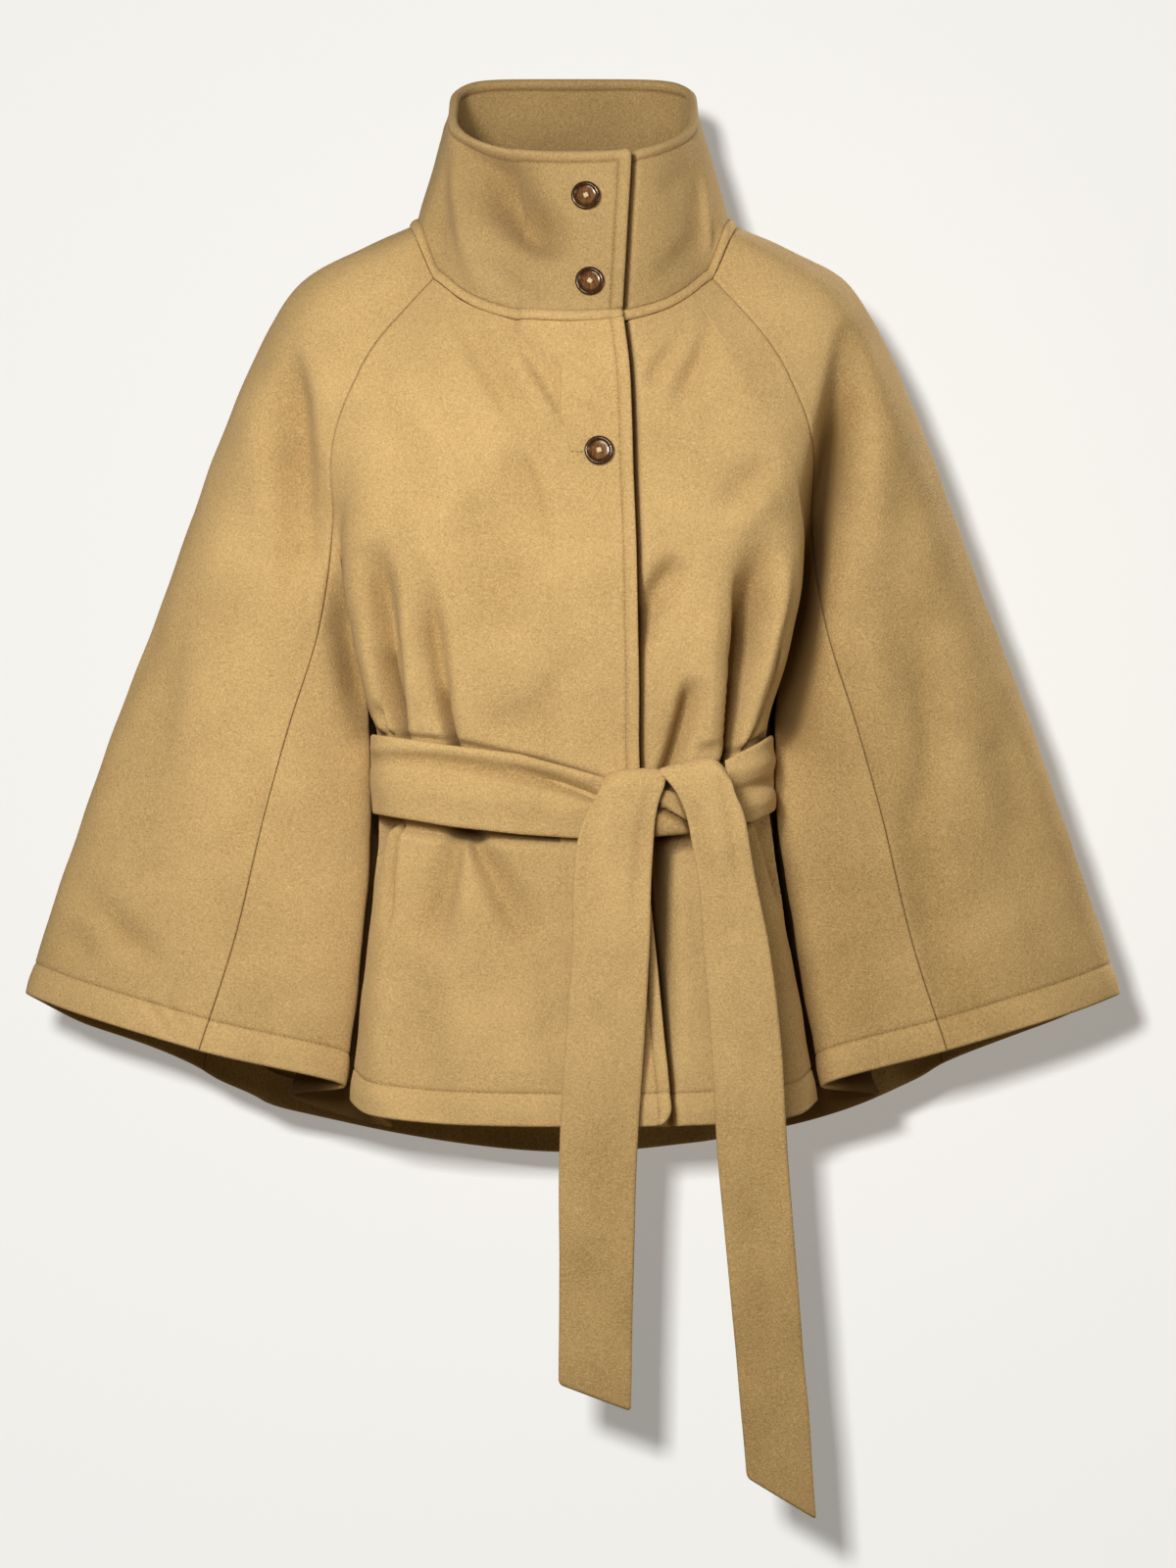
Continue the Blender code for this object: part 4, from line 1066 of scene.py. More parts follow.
# ================================================================== the raglan sleeves
# Each sleeve is one wide piece from the neck to the hem, over the shoulder, with a soft
# hollow beside its front seam; a side's two seams are pressed and the hem is topstitched.
SLEEVE_RIGHT_CREASES = (
    (-224, -68, -213, -138, -206, -232, 20, 12, 0.9, -18, 0.1, 0.4, 0),
    (-242, -100, -236, -180, -230, -270, 16, 14, 1, 4.5, 0, 0, 0),
    (-214, -225, -214, -262, -222, -310, 13, 11, 1, -5, 0, 0, 0),
    (-190, -285, -191, -335, -203, -390, 13, 7, 1, -16, 0, 0.2, 0),
    (-168, -362, -204, -404, -246, -525, 7, 12, 1.5, -15, 0.1, 0, 0),
    (-160, -384, -182, -430, -204, -530, 12, 13, 1.4, 6, 0, 0, 0),
    (-242, -380, -240, -425, -256, -490, 12, 12, 1, -5, 0, 0, 0),
    (-300, -240, -318, -350, -334, -470, 26, 20, 1, -6, 0, 0.2, 0),
    (-372, -494, -344, -528, -308, -556, 11, 13, 1, -6, 0, 0, 0),
    (-396, -514, -382, -532, -364, -546, 12, 12, 1, -3.6, 0, 0, 0),
    (-330, -573, -318, -590, -308, -606, 2.6, 3.4, 1, -3, 0, 0.4, 0),
    (-316, -570, -305, -590, -296, -608, 2.4, 3.4, 1, -2.4, 0, 0.4, 0),
)
SLEEVE_LEFT_CREASES = (
    (236, -100, 232, -190, 226, -300, 15, 17, 1, 5, 0, 0, 0),
    (256, -265, 274, -380, 262, -440, 13, 14, 1, -7, 0, 0.3, 0),
    (256, -405, 270, -480, 290, -588, 14, 16, 1.1, -5, 0.2, 0.6, 0),
    (228, -250, 234, -330, 236, -400, 14, 14, 1, 4, 0, 0, 0),
    (178, -350, 188, -368, 202, -386, 9, 9, 1, -6, 0, 0, 0),
    (194, -330, 207, -390, 220, -470, 15, 18, 1, -9, 0, 0, 0),
    (196, -440, 200, -530, 202, -630, 10, 10, 1, 4, 0, 0.6, 0),
    (344, -376, 326, -386, 306, -396, 10, 11, 1, -1.8, 0, 0, 0),
    (320, -330, 336, -420, 358, -520, 20, 18, 1, -5, 0, 0.2, 0),
    (292, -572, 300, -588, 310, -604, 2.6, 3.4, 1, -3.2, 0, 0.4, 0),
    (305, -568, 312, -584, 320, -598, 2.4, 3.4, 1, -2.6, 0, 0.4, 0),
)
SEAM_SHADE = 0.26      # painted shade on the left sleeve beside its front seam, low down
sleeve = Cut(RAGLAN_FRONT_AT, RAGLAN_BACK_AT)
# Painted shade on the sleeve beside its front seam, low down.
beside_seam = groove(sleeve.across - RAGLAN_FRONT_AT, 0.7) * smoothstep((sleeve.down - 4.0) / 2.0)
sleeve.pressed += SEAM_SHADE * beside_seam
sew_panel("sleeve_left", sleeve, SLEEVE_LEFT_CREASES)
sleeve = Cut(-RAGLAN_BACK_AT, -RAGLAN_FRONT_AT)
sew_panel("sleeve_right", sleeve, SLEEVE_RIGHT_CREASES)

# ================================================================== the back
# One piece, cut wide and hung from the neck seam, so that its lower edge falls in soft
# flutes; it is joined to the sleeves by pressed seams and turned up like the other panels.
BACK_CREASES = (
    (-62, 10, -96, -60, -118, -150, 15, 12, 1, -8, 0.3, 0, 0),
    (-30, 14, -46, -50, -58, -130, 10, 12, 1, -4, 0.3, 0, 0),
    (70, 8, 92, -70, 104, -170, 13, 15, 1, -7.6, 0.2, 0, 0),
    (28, 16, 36, -40, 34, -116, 9, 11, 1, -3.6, 0.3, 0, 0),
    (-8, -20, -14, -90, -6, -180, 18, 15, 1, -4.4, 0.2, 0, 0),
    (-176, -130, -150, -300, -156, -500, 20, 15, 1, -13, 0, 0.4, 0),
    (-132, -200, -112, -340, -118, -560, 16, 20, 1.1, 7, 0, 0.6, 0),
    (158, -150, 140, -310, 150, -520, 16, 22, 1, -12, 0, 0.4, 0),
    (116, -260, 104, -380, 108, -580, 18, 15, 1.1, 6, 0, 0.6, 0),
    (42, -230, 54, -380, 62, -600, 22, 17, 1.1, -12, 0, 0.7, 0),
    (6, -300, 10, -420, 8, -620, 17, 20, 1.1, 6.5, 0, 0.7, 0),
    (-64, -300, -54, -430, -68, -620, 16, 22, 1.2, -10, 0, 0.7, 0),
    (-100, -90, -84, -150, -60, -196, 13, 14, 1, -4, 0, 0, 0),
    (96, -560, 102, -610, 100, -680, 12, 14, 1, -5, 0, 0.7, 0),
)
BACK_STEP = 4.8
back = Cut(RAGLAN_BACK_AT, 2 * CENTRE_BACK_AT - RAGLAN_BACK_AT, step=BACK_STEP)
sew_panel("back", back, BACK_CREASES, behind=True)

# ================================================================== the neck seam
# Where the collar is set on, the turnings are caught in a raised roll along the neck; it
# runs from under the lap right round and ends at the placket's topstitching.
COLLAR_WALL = 3.6      # the collar is two layers, pressed
ROLL_HEIGHT = 6.8
ROLL_PROUD = 2.4       # how far the roll stands out of the cloth
ROLL_MEETS = 0.7       # how far the roll reaches over the edges that it joins
ROLL_SIDES = 16
ROLL_SQUARE = 0.9      # 1 is a round section, and less is squarer
ROLL_TIP = 0.25        # share of its thickness that is left at its two tips
JUST_BELOW = 0.15      # level from which the way up the cloth at the neck is taken
NECK_Y = -10           # middle of the neck, about which the collar's top is laid out
COLLAR_PROBE = 0.05    # part of a station over which the way round the collar is measured
COLLAR_TOP = dict(half_width=92.5, front_depth=75, back_depth=68, front_z=62, side_z=104,
                  back_z=136, front_square=2.4, back_square=5.0)


def neck_loop(across, level=0.0):
    """Loop round the panels at the neck, one point for each station."""
    face, _ = cloth_face(across, np.array([level]))
    return face[0]


def collar_top(across):
    """Loop of the collar's upper edge, one point for each station."""
    neck = neck_loop(across)
    turn = np.arctan2(neck[:, 0], NECK_Y - neck[:, 1])
    top = COLLAR_TOP
    front = np.cos(turn) > 0
    power = np.where(front, 2 / top["front_square"], 2 / top["back_square"])
    side = np.sign(np.sin(turn)) * np.abs(np.sin(turn)) ** power
    deep = np.abs(np.cos(turn)) ** power
    y = np.where(front, -top["front_depth"], top["back_depth"]) * deep
    far = np.where(front, top["front_z"], top["back_z"])
    z = top["side_z"] + (far - top["side_z"]) * deep
    return np.stack((top["half_width"] * side, y, z), axis=-1)


def collar_foot(across):
    """Loop where the collar meets the neck seam, and the way up the cloth there."""
    neck = neck_loop(across)
    way = unit(unit(neck - neck_loop(across, JUST_BELOW)) + unit(collar_top(across) - neck))
    return neck + way * (ROLL_HEIGHT + 2 * SEAM_GAP), way


def collar_skin(across, up):
    """Outer face of the collar and its normals, up = 0 at its foot and 1 at its top."""

    def ruled(stations):
        foot, _ = collar_foot(stations)
        return foot + (collar_top(stations) - foot) * up[:, None, None]

    run = ruled(across + COLLAR_PROBE) - ruled(across - COLLAR_PROBE)
    rise = collar_top(across) - collar_foot(across)[0]
    return ruled(across), unit(np.cross(run, rise))


def upper_end(stations, layer):
    """Layer offset for what wraps round the neck and ends on itself."""
    return lap(stations - 2 * CENTRE_BACK_AT, layer)


def squarish(turn, power):
    """Cosine and sine of a turn, pulled out towards a square as `power` falls below 1."""
    cosine, sine = math.cos(turn), math.sin(turn)
    return (math.copysign(abs(cosine) ** power, cosine), math.copysign(abs(sine) ** power, sine))


def closed_tube(name, node, rings, pressed=0.0):
    """Rings of points (ring, side, xyz) closed into one piece of wool that replaces `node`."""
    count, sides, _ = rings.shape
    marks = np.broadcast_to(pressed, (count, sides)).ravel()
    tube = make_piece(name, rings.reshape(-1, 3), tube_faces(count, sides), coat_wool, marks)
    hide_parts(node)
    return tube


ROUND_THE_NECK = (UNDER_END, 2 * CENTRE_BACK_AT + 1.0)
stations = np.linspace(*ROUND_THE_NECK, 421)
neck = neck_loop(stations)
foot, way_up = collar_foot(stations)
_, roll_normal = collar_skin(stations, np.array([0.0]))
from_start = np.concatenate(([0], np.cumsum(np.linalg.norm(np.diff(neck, axis=0), axis=1))))
to_end = from_start[-1] - from_start
fullness = 1 - smoothstep((PLACKET_STITCH + 3.0 - to_end) / 5.0)
half_thick = (COLLAR_WALL + ROLL_PROUD) / 2
half_high = ROLL_HEIGHT / 2 + ROLL_MEETS
raised = upper_end(stations, 2 * half_thick + LAP_CLEAR) - (COLLAR_WALL - ROLL_PROUD) / 2
raised = raised - (1 - fullness) * ROLL_PROUD * 1.2 + stand_off(to_end)
middle = (neck + foot) / 2
rings = []
for turn in np.arange(ROLL_SIDES) * (2 * math.pi / ROLL_SIDES):
    proud, up = squarish(turn, ROLL_SQUARE)
    rings.append(middle + way_up * up * half_high
                 + roll_normal[0] * (raised + proud * half_thick)[:, None])
rings = np.stack(rings, axis=1)
tips = rings.mean(axis=1, keepdims=True)
end_round = closeness(np.minimum(from_start, to_end), 2.2)[:, None, None]
rings = tips + (rings - tips) * (ROLL_TIP + (1 - ROLL_TIP) * end_round)
neck_roll = closed_tube("neck_seam_roll", "neck_seam", rings[:, ::-1])

# ================================================================== the collar
# A tall funnel of two layers pressed together, topstitched 9 mm below its upper edge on both
# faces.  It is set on the neck seam, stands by its own stiffness and laps right over left.
COLLAR_STITCH = 9.0
COLLAR_CORNER = 7.0
COLLAR_STEP = 3.3
COLLAR_TONE = 0.82     # how bright its wool is beside the coat's
LIP_FULL = 2.2         # how much fuller it is above its upper stitch line, and at its end
END_FULL = 0.7
LIP_STOPS = (0, 0.5, 1.1, 1.9, 3.0, 5.0, 7.2, 8.2, 8.7, 9.0, 9.3, 9.9, 11.2, 13.5)
COLLAR_CREASES = (
    (-91, 88, -86, 28, -72, -38, 6, 6, 1.3, 7, 0.6, 0.3, 0),
    (-80, 64, -48, 24, 14, -14, 13, 22, 1.2, -12, 0.4, 0, 0),
    (-66, 80, -42, 24, -14, -24, 19, 23, 1.1, -19, 0.4, 0.2, 0),
    (-70, 4, -40, -22, -4, -40, 9, 9, 1, -5, 0.2, 0, 0),
    (-46, 60, -6, 26, 32, 4, 11, 12, 1, 4, 0, 0, 0),
    (-62, 20, -36, -2, 0, -22, 7, 8, 1, 2.5, 0, 0, 0),
    (100, 70, 103, 20, 105.5, -14, 5, 3.4, 1, 3.5, 0, 0.4, 0),
    (98, 10, 80, -12, 56, -26, 10, 11, 1, -4, 0.2, 0, 0),
    (92, 66, 80, 50, 62, 40, 10, 9, 1, -2.4, 0.2, 0, 0),
)
collar_wool = wool("collar_wool", [COLLAR_TONE * value for value in CAMEL])
first, last = ROUND_THE_NECK
stations = np.linspace(first, last, round((last - first) * DENSE) + 1)
up = np.linspace(1, 0, 2 * DENSE + 1)
face, normal = collar_skin(stations, up)
shape = face.shape[:2]
dense = np.concatenate((face, normal, np.broadcast_to(stations, shape)[..., None]), axis=-1)
grid = respread(dense, COLLAR_STEP, SEAM_STOPS, PLACKET_STOPS)
grid = np.swapaxes(respread(np.swapaxes(grid, 0, 1), COLLAR_STEP, LIP_STOPS, SEAM_STOPS), 0, 1)
points = grid[..., :3]
normal = unit(grid[..., 3:6])
around, from_start, from_end, from_top, from_foot = np.moveaxis(grid[..., 6:], -1, 0)
depth, _ = creases(points, COLLAR_CREASES)
depth = depth * (normal[..., 1] < 0) * smoothstep(from_top / 18)
depth = depth * smoothstep(from_end / 22) * smoothstep(from_foot / 14)
depth += unevenness(points, **UNEVEN) * smoothstep(from_foot / 8)
depth += upper_end(around, COLLAR_WALL + LAP_CLEAR) + stand_off(from_end)
beside_lap = groove(beyond_lap(points, around) - 1.6, 4.0) * (around < SLEEVE_INNER_AT)
depth -= LAP_DIP * beside_lap * smoothstep(from_foot / 5)
lip_line = groove(from_top - COLLAR_STITCH, 1.0) * (from_end > PLACKET_STITCH)
end_line = groove(from_end - PLACKET_STITCH, 1.0) * (from_top > COLLAR_STITCH)
line = np.maximum(lip_line, end_line)
points, edge = round_corner(points, from_end, from_top, COLLAR_CORNER, (1, -1))
rounded = (from_end < COLLAR_CORNER) & (from_top < COLLAR_CORNER)
half = COLLAR_WALL / 2 + LIP_FULL * groove(from_top - 3.8, 3.6)
half = half + END_FULL * groove(from_end - 4.4, 3.4)
plain = closeness(from_end, half) * closeness(from_top, half)
close = np.where(rounded, closeness(edge, half), plain)
close = close * closeness(from_start, half) * closeness(from_foot, SEAM_REACH)
middle = points + normal * (depth - COLLAR_WALL / 2)[..., None]
faces_of = two_faces(middle, normal, half - 0.9 * line, close)
collar_outer, collar_inner = faces_of
collar_normal = normal
# Darker along the stitch lines and the foot seam; painted shade in the creases, and a painted
# highlight just under the top edge.  The inner face is painted darker.
pressed = 0.42 * line + 0.4 * groove(from_foot, 1.8) + np.clip(-depth / CREASE_SHADE_DEPTH, 0, 0.3)
pressed -= 0.14 * groove(from_top - 3.2, 3.4)
collar = make_cloth("collar_cloth", faces_of, collar_wool, pressed, inner_painted_shade=0.28)
lip_row = row_at(from_top[:, 0], COLLAR_STITCH)
end_column = row_at(from_end[0], PLACKET_STITCH)
lines = [(collar_outer[lip_row, :end_column], normal[lip_row, :end_column]),
         (collar_inner[lip_row, :end_column], -normal[lip_row, :end_column]),
         (collar_outer[lip_row:-2, end_column], normal[lip_row:-2, end_column])]
collar_thread = stitching("collar_stitching", lines)
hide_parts("collar")

# ================================================================== the belt
# A turned tube of the same wool, 60 mm wide, pressed flat.  It lies on the fronts, goes
# through a slit in the bottom of each side fold and round the wearer's back inside.
BELT_WALL = 4.0
BELT_CLEAR = 1.1       # clear space under the belt
BELT_WIDTH = 60.0
BELT_STEP = 3.0
BELT_LEVELS = np.linspace(6, 9, 73)        # levels of the skin among which it lies
BELT_ROWS = np.linspace(0.5, -0.5, 13)     # heights across it, as shares of its width
#  x on the front, middle height, width
BELT_LEFT = ((-147, -405, 60), (-90, -414, 61), (-40, -420, 60), (0, -427, 52), (27.5, -430, 42))
BELT_RIGHT = ((112.6, -419, 48), (131, -413, 56), (147, -404, 57))
BELT_BACK = dict(half_width=149, depth=98, height=-398, square=0.8)
BELT_TURNS = np.radians(np.linspace(4, 176, 60))   # its way round the back, side to side
BELT_LEAVES = 4.67     # station at which the belt leaves the torso's side for the slit
BELT_OFF_LAP = 1.4     # station from which it no longer lies on the lap
BELT_UNEVEN = dict(seed=9, amount=0.5, size=45.0)
BELT_FULL = 1.2        # how much fuller each face is along the middle than at the edges
BELT_EDGE = (0, 0.3, 0.8, 1.6, 2.6, 4.2)
BELT_CREASES = (
    (-150, -395, -80, -400, 18, -424, 3.6, 7, 1, -4.6, 0.5, 1, 0),
    (-148, -385.5, -70, -390, 12, -408, 4, 4, 1, 1.8, 1, 1, 0),
    (-146, -413, -60, -424, 16, -433, 13, 12, 0.8, 2.6, 0.5, 1, 0),
    (-60, -398, -20, -408, 20, -424, 3, 4, 1, -3, 0, 1, 0),
    (112, -424, 130, -417, 149, -411, 4, 4.5, 1, -5, 0.6, 1, 0),
    (112, -404, 130, -401, 147, -394, 6, 6, 1, 2.4, 1, 1, 0),
    (118, -434, 134, -430, 147, -424, 6, 6, 1, 2.4, 1, 1, 0),
)


def at_height(height, line, values):
    """What `values` along a line down the cloth come to at one height, or at several."""
    return np.interp(-height, -line[:, 2], values)


def belt_columns(first, last, stops):
    """Middle of the belt's wall on the front, from one station to another."""
    along = np.linspace(first, last, 61)
    face, normal = cloth_face(along, BELT_LEVELS)
    x_stops, middles, widths = np.array(stops, float).T
    columns = []
    for k, station in enumerate(along):
        line = face[:, k]
        x = at_height(stops[0][1], line, line[:, 0])
        height = np.interp(x, x_stops, middles) + np.interp(x, x_stops, widths) * BELT_ROWS
        spot = [at_height(height, line, line[:, axis]) for axis in (0, 1)]
        out = [at_height(height, line, normal[:, k, axis]) for axis in (0, 1)]
        out = unit(np.stack(out + [np.zeros(len(BELT_ROWS))], axis=-1))
        rest = BELT_CLEAR + BELT_WALL / 2
        if station < BELT_OFF_LAP:
            rest += lap(station, CLOTH + LAP_CLEAR)
        columns.append(np.stack(spot + [height], axis=-1) + out * rest)
    return columns


def at_width(x, height):
    """Station at which the torso's front reaches the given x, at one height."""
    along = np.linspace(-TORSO_EDGE_AT, TORSO_EDGE_AT, 161)
    face, _ = cloth_face(along, BELT_LEVELS)
    found = [at_height(height, face[:, k], face[:, k, 0]) for k in range(len(along))]
    return float(np.interp(x, found, along))


def flat_tube(dense, edges, ends, table, half, puff):
    """A pressed tube of cloth from a dense grid of its middle: points, normals, depth of the
    creases, half the thickness, which is `half` and up to `puff` more, and the distances to the
    left, right, upper and lower edge.  `edges` are the stops at its long edges, `ends` those at
    its two ends."""
    grid = respread(dense, BELT_STEP, *ends)
    grid = np.swapaxes(respread(np.swapaxes(grid, 0, 1), BELT_STEP, *edges), 0, 1)
    points = grid[..., :3]
    run = np.gradient(points, axis=1)
    fall = np.gradient(points, axis=0)
    normal = unit(np.cross(fall, run))
    from_left, from_right, from_top, from_foot = np.moveaxis(grid[..., -4:], -1, 0)
    depth, _ = creases(points, table)
    depth = depth * (normal[..., 1] < 0) + unevenness(points, **BELT_UNEVEN)
    wide = from_top + from_foot
    full = half + puff * (4 * from_top * from_foot / wide ** 2) ** 1.5
    return points, normal, depth, full, from_left, from_right, from_top, from_foot


end_x, end_z, _ = BELT_LEFT[-1]
columns = belt_columns(-BELT_LEAVES, at_width(end_x, end_z), BELT_LEFT)[::-1]
side_z = BELT_LEFT[0][1]
for turn in BELT_TURNS:
    deep = math.sin(turn)
    x = -BELT_BACK["half_width"] * squarish(turn, BELT_BACK["square"])[0]
    height = side_z + (BELT_BACK["height"] - side_z) * deep + BELT_WIDTH * BELT_ROWS
    columns.append(np.stack(np.broadcast_arrays(x, BELT_BACK["depth"] * deep, height), axis=-1))
end_x, end_z, _ = BELT_RIGHT[0]
columns += belt_columns(at_width(end_x, end_z), BELT_LEAVES, BELT_RIGHT)[::-1]
points, normal, depth, full, from_left, from_right, from_top, from_foot = flat_tube(
    np.stack(columns[::-1], axis=1), (BELT_EDGE, BELT_EDGE), (SEAM_STOPS, SEAM_STOPS),
    BELT_CREASES, BELT_WALL / 2, BELT_FULL)
close = closeness(from_left, 2.0) * closeness(from_right, 2.0)
close = close * closeness(from_top, 3.4) * closeness(from_foot, 3.4)
faces_of = two_faces(points + normal * depth[..., None], normal, full, close)
# Painted shade in the belt's creases.
belt = make_cloth("belt_wrap", faces_of, coat_wool, np.clip(-depth / 14, 0, 0.5))
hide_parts("belt")

# ================================================================== the knot
# The belt's ends are tied once: a short wrap of the belt shows between the two tails, pressed
# into a roll that runs up to the right, with a crease across it.
KNOT = dict(x=70, z=-429, half_width=41.5, half_height=22, back_y=-116, front_y=-133.6, rise=3)
KNOT_SQUARE = 0.75     # 1 is a round section, and less is squarer
KNOT_TIP = 0.35        # share of its thickness that is left at its two ends
KNOT_BLUNT = 5         # how blunt those are
KNOT_SHADE = 0.16       # painted shade all over it, and close beside a tail
BESIDE_TAIL_SHADE = 0.9
# The tails, left and right of it.  They come first because shade is painted on the knot beside them.
#  height, left edge, right edge, y of the outer face
TAIL_LEFT = (
    (-405, 20, 69, -134),
    (-412, 17, 67.5, -137.6),
    (-423, 14, 64, -138),
    (-440, 7.5, 61, -138),
    (-457, 3, 59.7, -137.6),
    (-486, 0.5, 58, -137.5),
    (-530, -0.5, 57, -138),
    (-602, -5.5, 53, -139.5),
    (-688, -10, 47.5, -140.5),
    (-775, -10, 45, -141),
    (-856, -10.5, 43, -141),
)
TAIL_RIGHT = (
    (-402, 64, 114, -135),
    (-409, 71, 118, -139),
    (-419, 77.5, 121, -139.2),
    (-436, 84, 127, -138),
    (-457, 88, 131, -137.6),
    (-486, 93, 136, -137.5),
    (-530, 96, 145, -138),
    (-602, 102, 154, -139.5),
    (-688, 107, 159, -140.5),
    (-775, 115, 166, -141),
    (-840, 121, 171, -141),
    (-925, 128.5, 180, -141),
)
KNOT_RINGS = 72
KNOT_SIDES = 64
KNOT_CREASES = (
    (58, -427, 76, -438, 94, -449, 2.2, 1.8, 1, -7, 1, 0.9, 0),
    (62, -404, 70, -407, 82, -411, 6, 5, 1, -9, 1, 1, 0),
)


def beside_tail(points, table, column):
    """Distance in x to one edge of a tail, column 1 or 2 of its table."""
    rows = np.array(table, float)
    return np.abs(points[..., 0] - at_height(points[..., 2], rows[:, (1, 2, 0)], rows[:, column]))


rings = []
half_deep = (KNOT["front_y"] - KNOT["back_y"]) / 2
for part in np.linspace(-1, 1, KNOT_RINGS):
    fullness = KNOT_TIP + (1 - KNOT_TIP) * math.sqrt(max(0.0, 1 - abs(part) ** KNOT_BLUNT))
    for turn in np.arange(KNOT_SIDES) * (2 * math.pi / KNOT_SIDES):
        out, high = squarish(turn, KNOT_SQUARE)
        rings.append((KNOT["x"] + KNOT["half_width"] * part,
                      KNOT["back_y"] + half_deep + half_deep * out * fullness,
                      KNOT["z"] + KNOT["half_height"] * high * fullness + KNOT["rise"] * part))
rings = np.array(rings).reshape(KNOT_RINGS, KNOT_SIDES, 3)
out = unit(rings - rings.mean(axis=1, keepdims=True))
sunk, _ = creases(rings, KNOT_CREASES)
sunk = sunk * (out[..., 1] < 0.2)
rings = rings + out * sunk[..., None]
# Painted shade: the knot is darkened all over, in its crease and beside each tail's edge.
shade = groove(beside_tail(rings, TAIL_LEFT, 2), 3.6) + groove(beside_tail(rings, TAIL_RIGHT, 1), 2.8)
pressed = KNOT_SHADE + np.clip(-sunk / 5, 0, 1.1) + BESIDE_TAIL_SHADE * shade
knot = closed_tube("knot_wrap", "knot", rings, pressed)

# ================================================================== the belt's tails
# The two ends roll over the knot and hang in front of the skirt, each cut off on a slant;
# the left one shows a faint line of stitches where the tube was closed.
TAIL_WALL = 4.0
TAIL_ROLL = 3.4        # radius of the turn over the knot, at the middle of the wall
TAIL_BENDS = np.radians(np.linspace(150, 6, 14))   # the turn, from behind to the front
TAIL_BULGE = 1.6       # how far a tail's middle stands out before its edges
TAIL_FULL = 0.3        # how much fuller each face is along the middle
TAIL_DENSE = 12        # rows to each row of its table, and points across
TAIL_ACROSS = 25
ARCH_FADES = 34.0      # length over which the arch of the turn is lost
SLANT_FROM = 60.0      # length over which the rows turn to the slant of the end
TAIL_CORNER = 3.5
TAIL_CREASES = (
    (24, -412, 12, -450, 8, -520, 6, 7, 1, -2.6, 0.6, 0, 0),
    (58, -420, 50, -470, 48, -540, 5, 6, 1, -2, 0.5, 0, 0),
    (84, -408, 98, -450, 108, -520, 6, 6, 1, -3, 0.5, 0, 0),
    (114, -410, 122, -450, 128, -510, 5, 5, 1, -2, 0.4, 0, 0),
    (6, -560, 26, -600, 44, -628, 7, 9, 1, -1.6, 0, 0, 0),
    (20, -650, 22, -740, 16, -840, 14, 12, 1, -1.6, 0, 0, 0),
    (136, -640, 140, -760, 150, -880, 12, 14, 1, -1.6, 0, 0, 0),
    (118, -560, 132, -600, 146, -650, 8, 8, 1, -1.6, 0, 0, 0),
)


def hang_tail(name, node, rows, arch, slant, seam=None):
    """A hanging end: rows from its table, rolled back over the knot at the top, where `arch`
    says how much higher the turn lies at shares of the width.  Its end falls by `slant` to the
    right, and a line of stitches runs down it `seam` mm from its left edge."""
    table = np.array(rows, float)
    fine = through(table, np.linspace(0, len(rows) - 1, TAIL_DENSE * (len(rows) - 1) + 1))
    share = np.linspace(0, 1, TAIL_ACROSS)
    rise = np.interp(share, *np.array(arch, float).T)
    rise = np.convolve(np.pad(rise, 2, mode="edge"), (0.1, 0.2, 0.4, 0.2, 0.1), "valid")
    grid = []
    back = unit(np.array([fine[0, 3] - fine[2, 3], fine[0, 0] - fine[2, 0]]))
    turned = np.array([back[1], -back[0]])
    for bend in TAIL_BENDS:
        shift = turned * TAIL_ROLL * (1 - math.cos(bend)) + back * TAIL_ROLL * math.sin(bend)
        grid.append([(fine[0, 1] + (fine[0, 2] - fine[0, 1]) * s,
                      fine[0, 3] + TAIL_WALL / 2 + shift[0],
                      fine[0, 0] + shift[1] + up) for s, up in zip(share, rise)])
    drop = fine[0, 0] - fine[:, 0]
    for (z, left_edge, right_edge, y), fallen in zip(fine, drop):
        lower = slant * smoothstep(1 - (drop[-1] - fallen) / SLANT_FROM)
        arched = 1 - smoothstep(fallen / ARCH_FADES)
        grid.append([(left_edge + (right_edge - left_edge) * s,
                      y + TAIL_WALL / 2 - TAIL_BULGE * (1 - (2 * s - 1) ** 2),
                      z - lower * s + arched * up) for s, up in zip(share, rise)])
    points, normal, depth, full, from_left, from_right, from_top, from_foot = flat_tube(
        np.array(grid), (SEAM_STOPS, SEAM_STOPS), (BELT_EDGE, BELT_EDGE), TAIL_CREASES,
        TAIL_WALL / 2, TAIL_FULL)
    points, near_left = round_corner(points, from_left, from_foot, TAIL_CORNER, (-1, 1))
    points, near_right = round_corner(points, from_right, from_foot, TAIL_CORNER, (1, 1))
    close = closeness(from_top, 2.0)
    foot_zone = from_foot < TAIL_CORNER
    edge = np.minimum(np.minimum(from_left, from_right), from_foot)
    edge = np.where(foot_zone & (from_left < TAIL_CORNER), near_left, edge)
    edge = np.where(foot_zone & (from_right < TAIL_CORNER), near_right, edge)
    close = close * closeness(edge, 3.0)
    faces_of = two_faces(points + normal * depth[..., None], normal, full, close)
    # Painted shade in the tail's creases, and growing towards its lower end.
    pressed = np.clip(-depth / 20, 0, 0.3) + 0.12 * smoothstep((from_top - 180) / 260)
    tail = make_cloth(name, faces_of, coat_wool, pressed)
    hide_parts(node)
    extra = []
    if seam is not None:
        column = row_at(from_left[len(from_left) // 2], seam)
        rows = slice(len(TAIL_BENDS), -3)
        extra = [stitching(name + "_stitching",
                           [(faces_of[0][rows, column], normal[rows, column])], 0.3)]


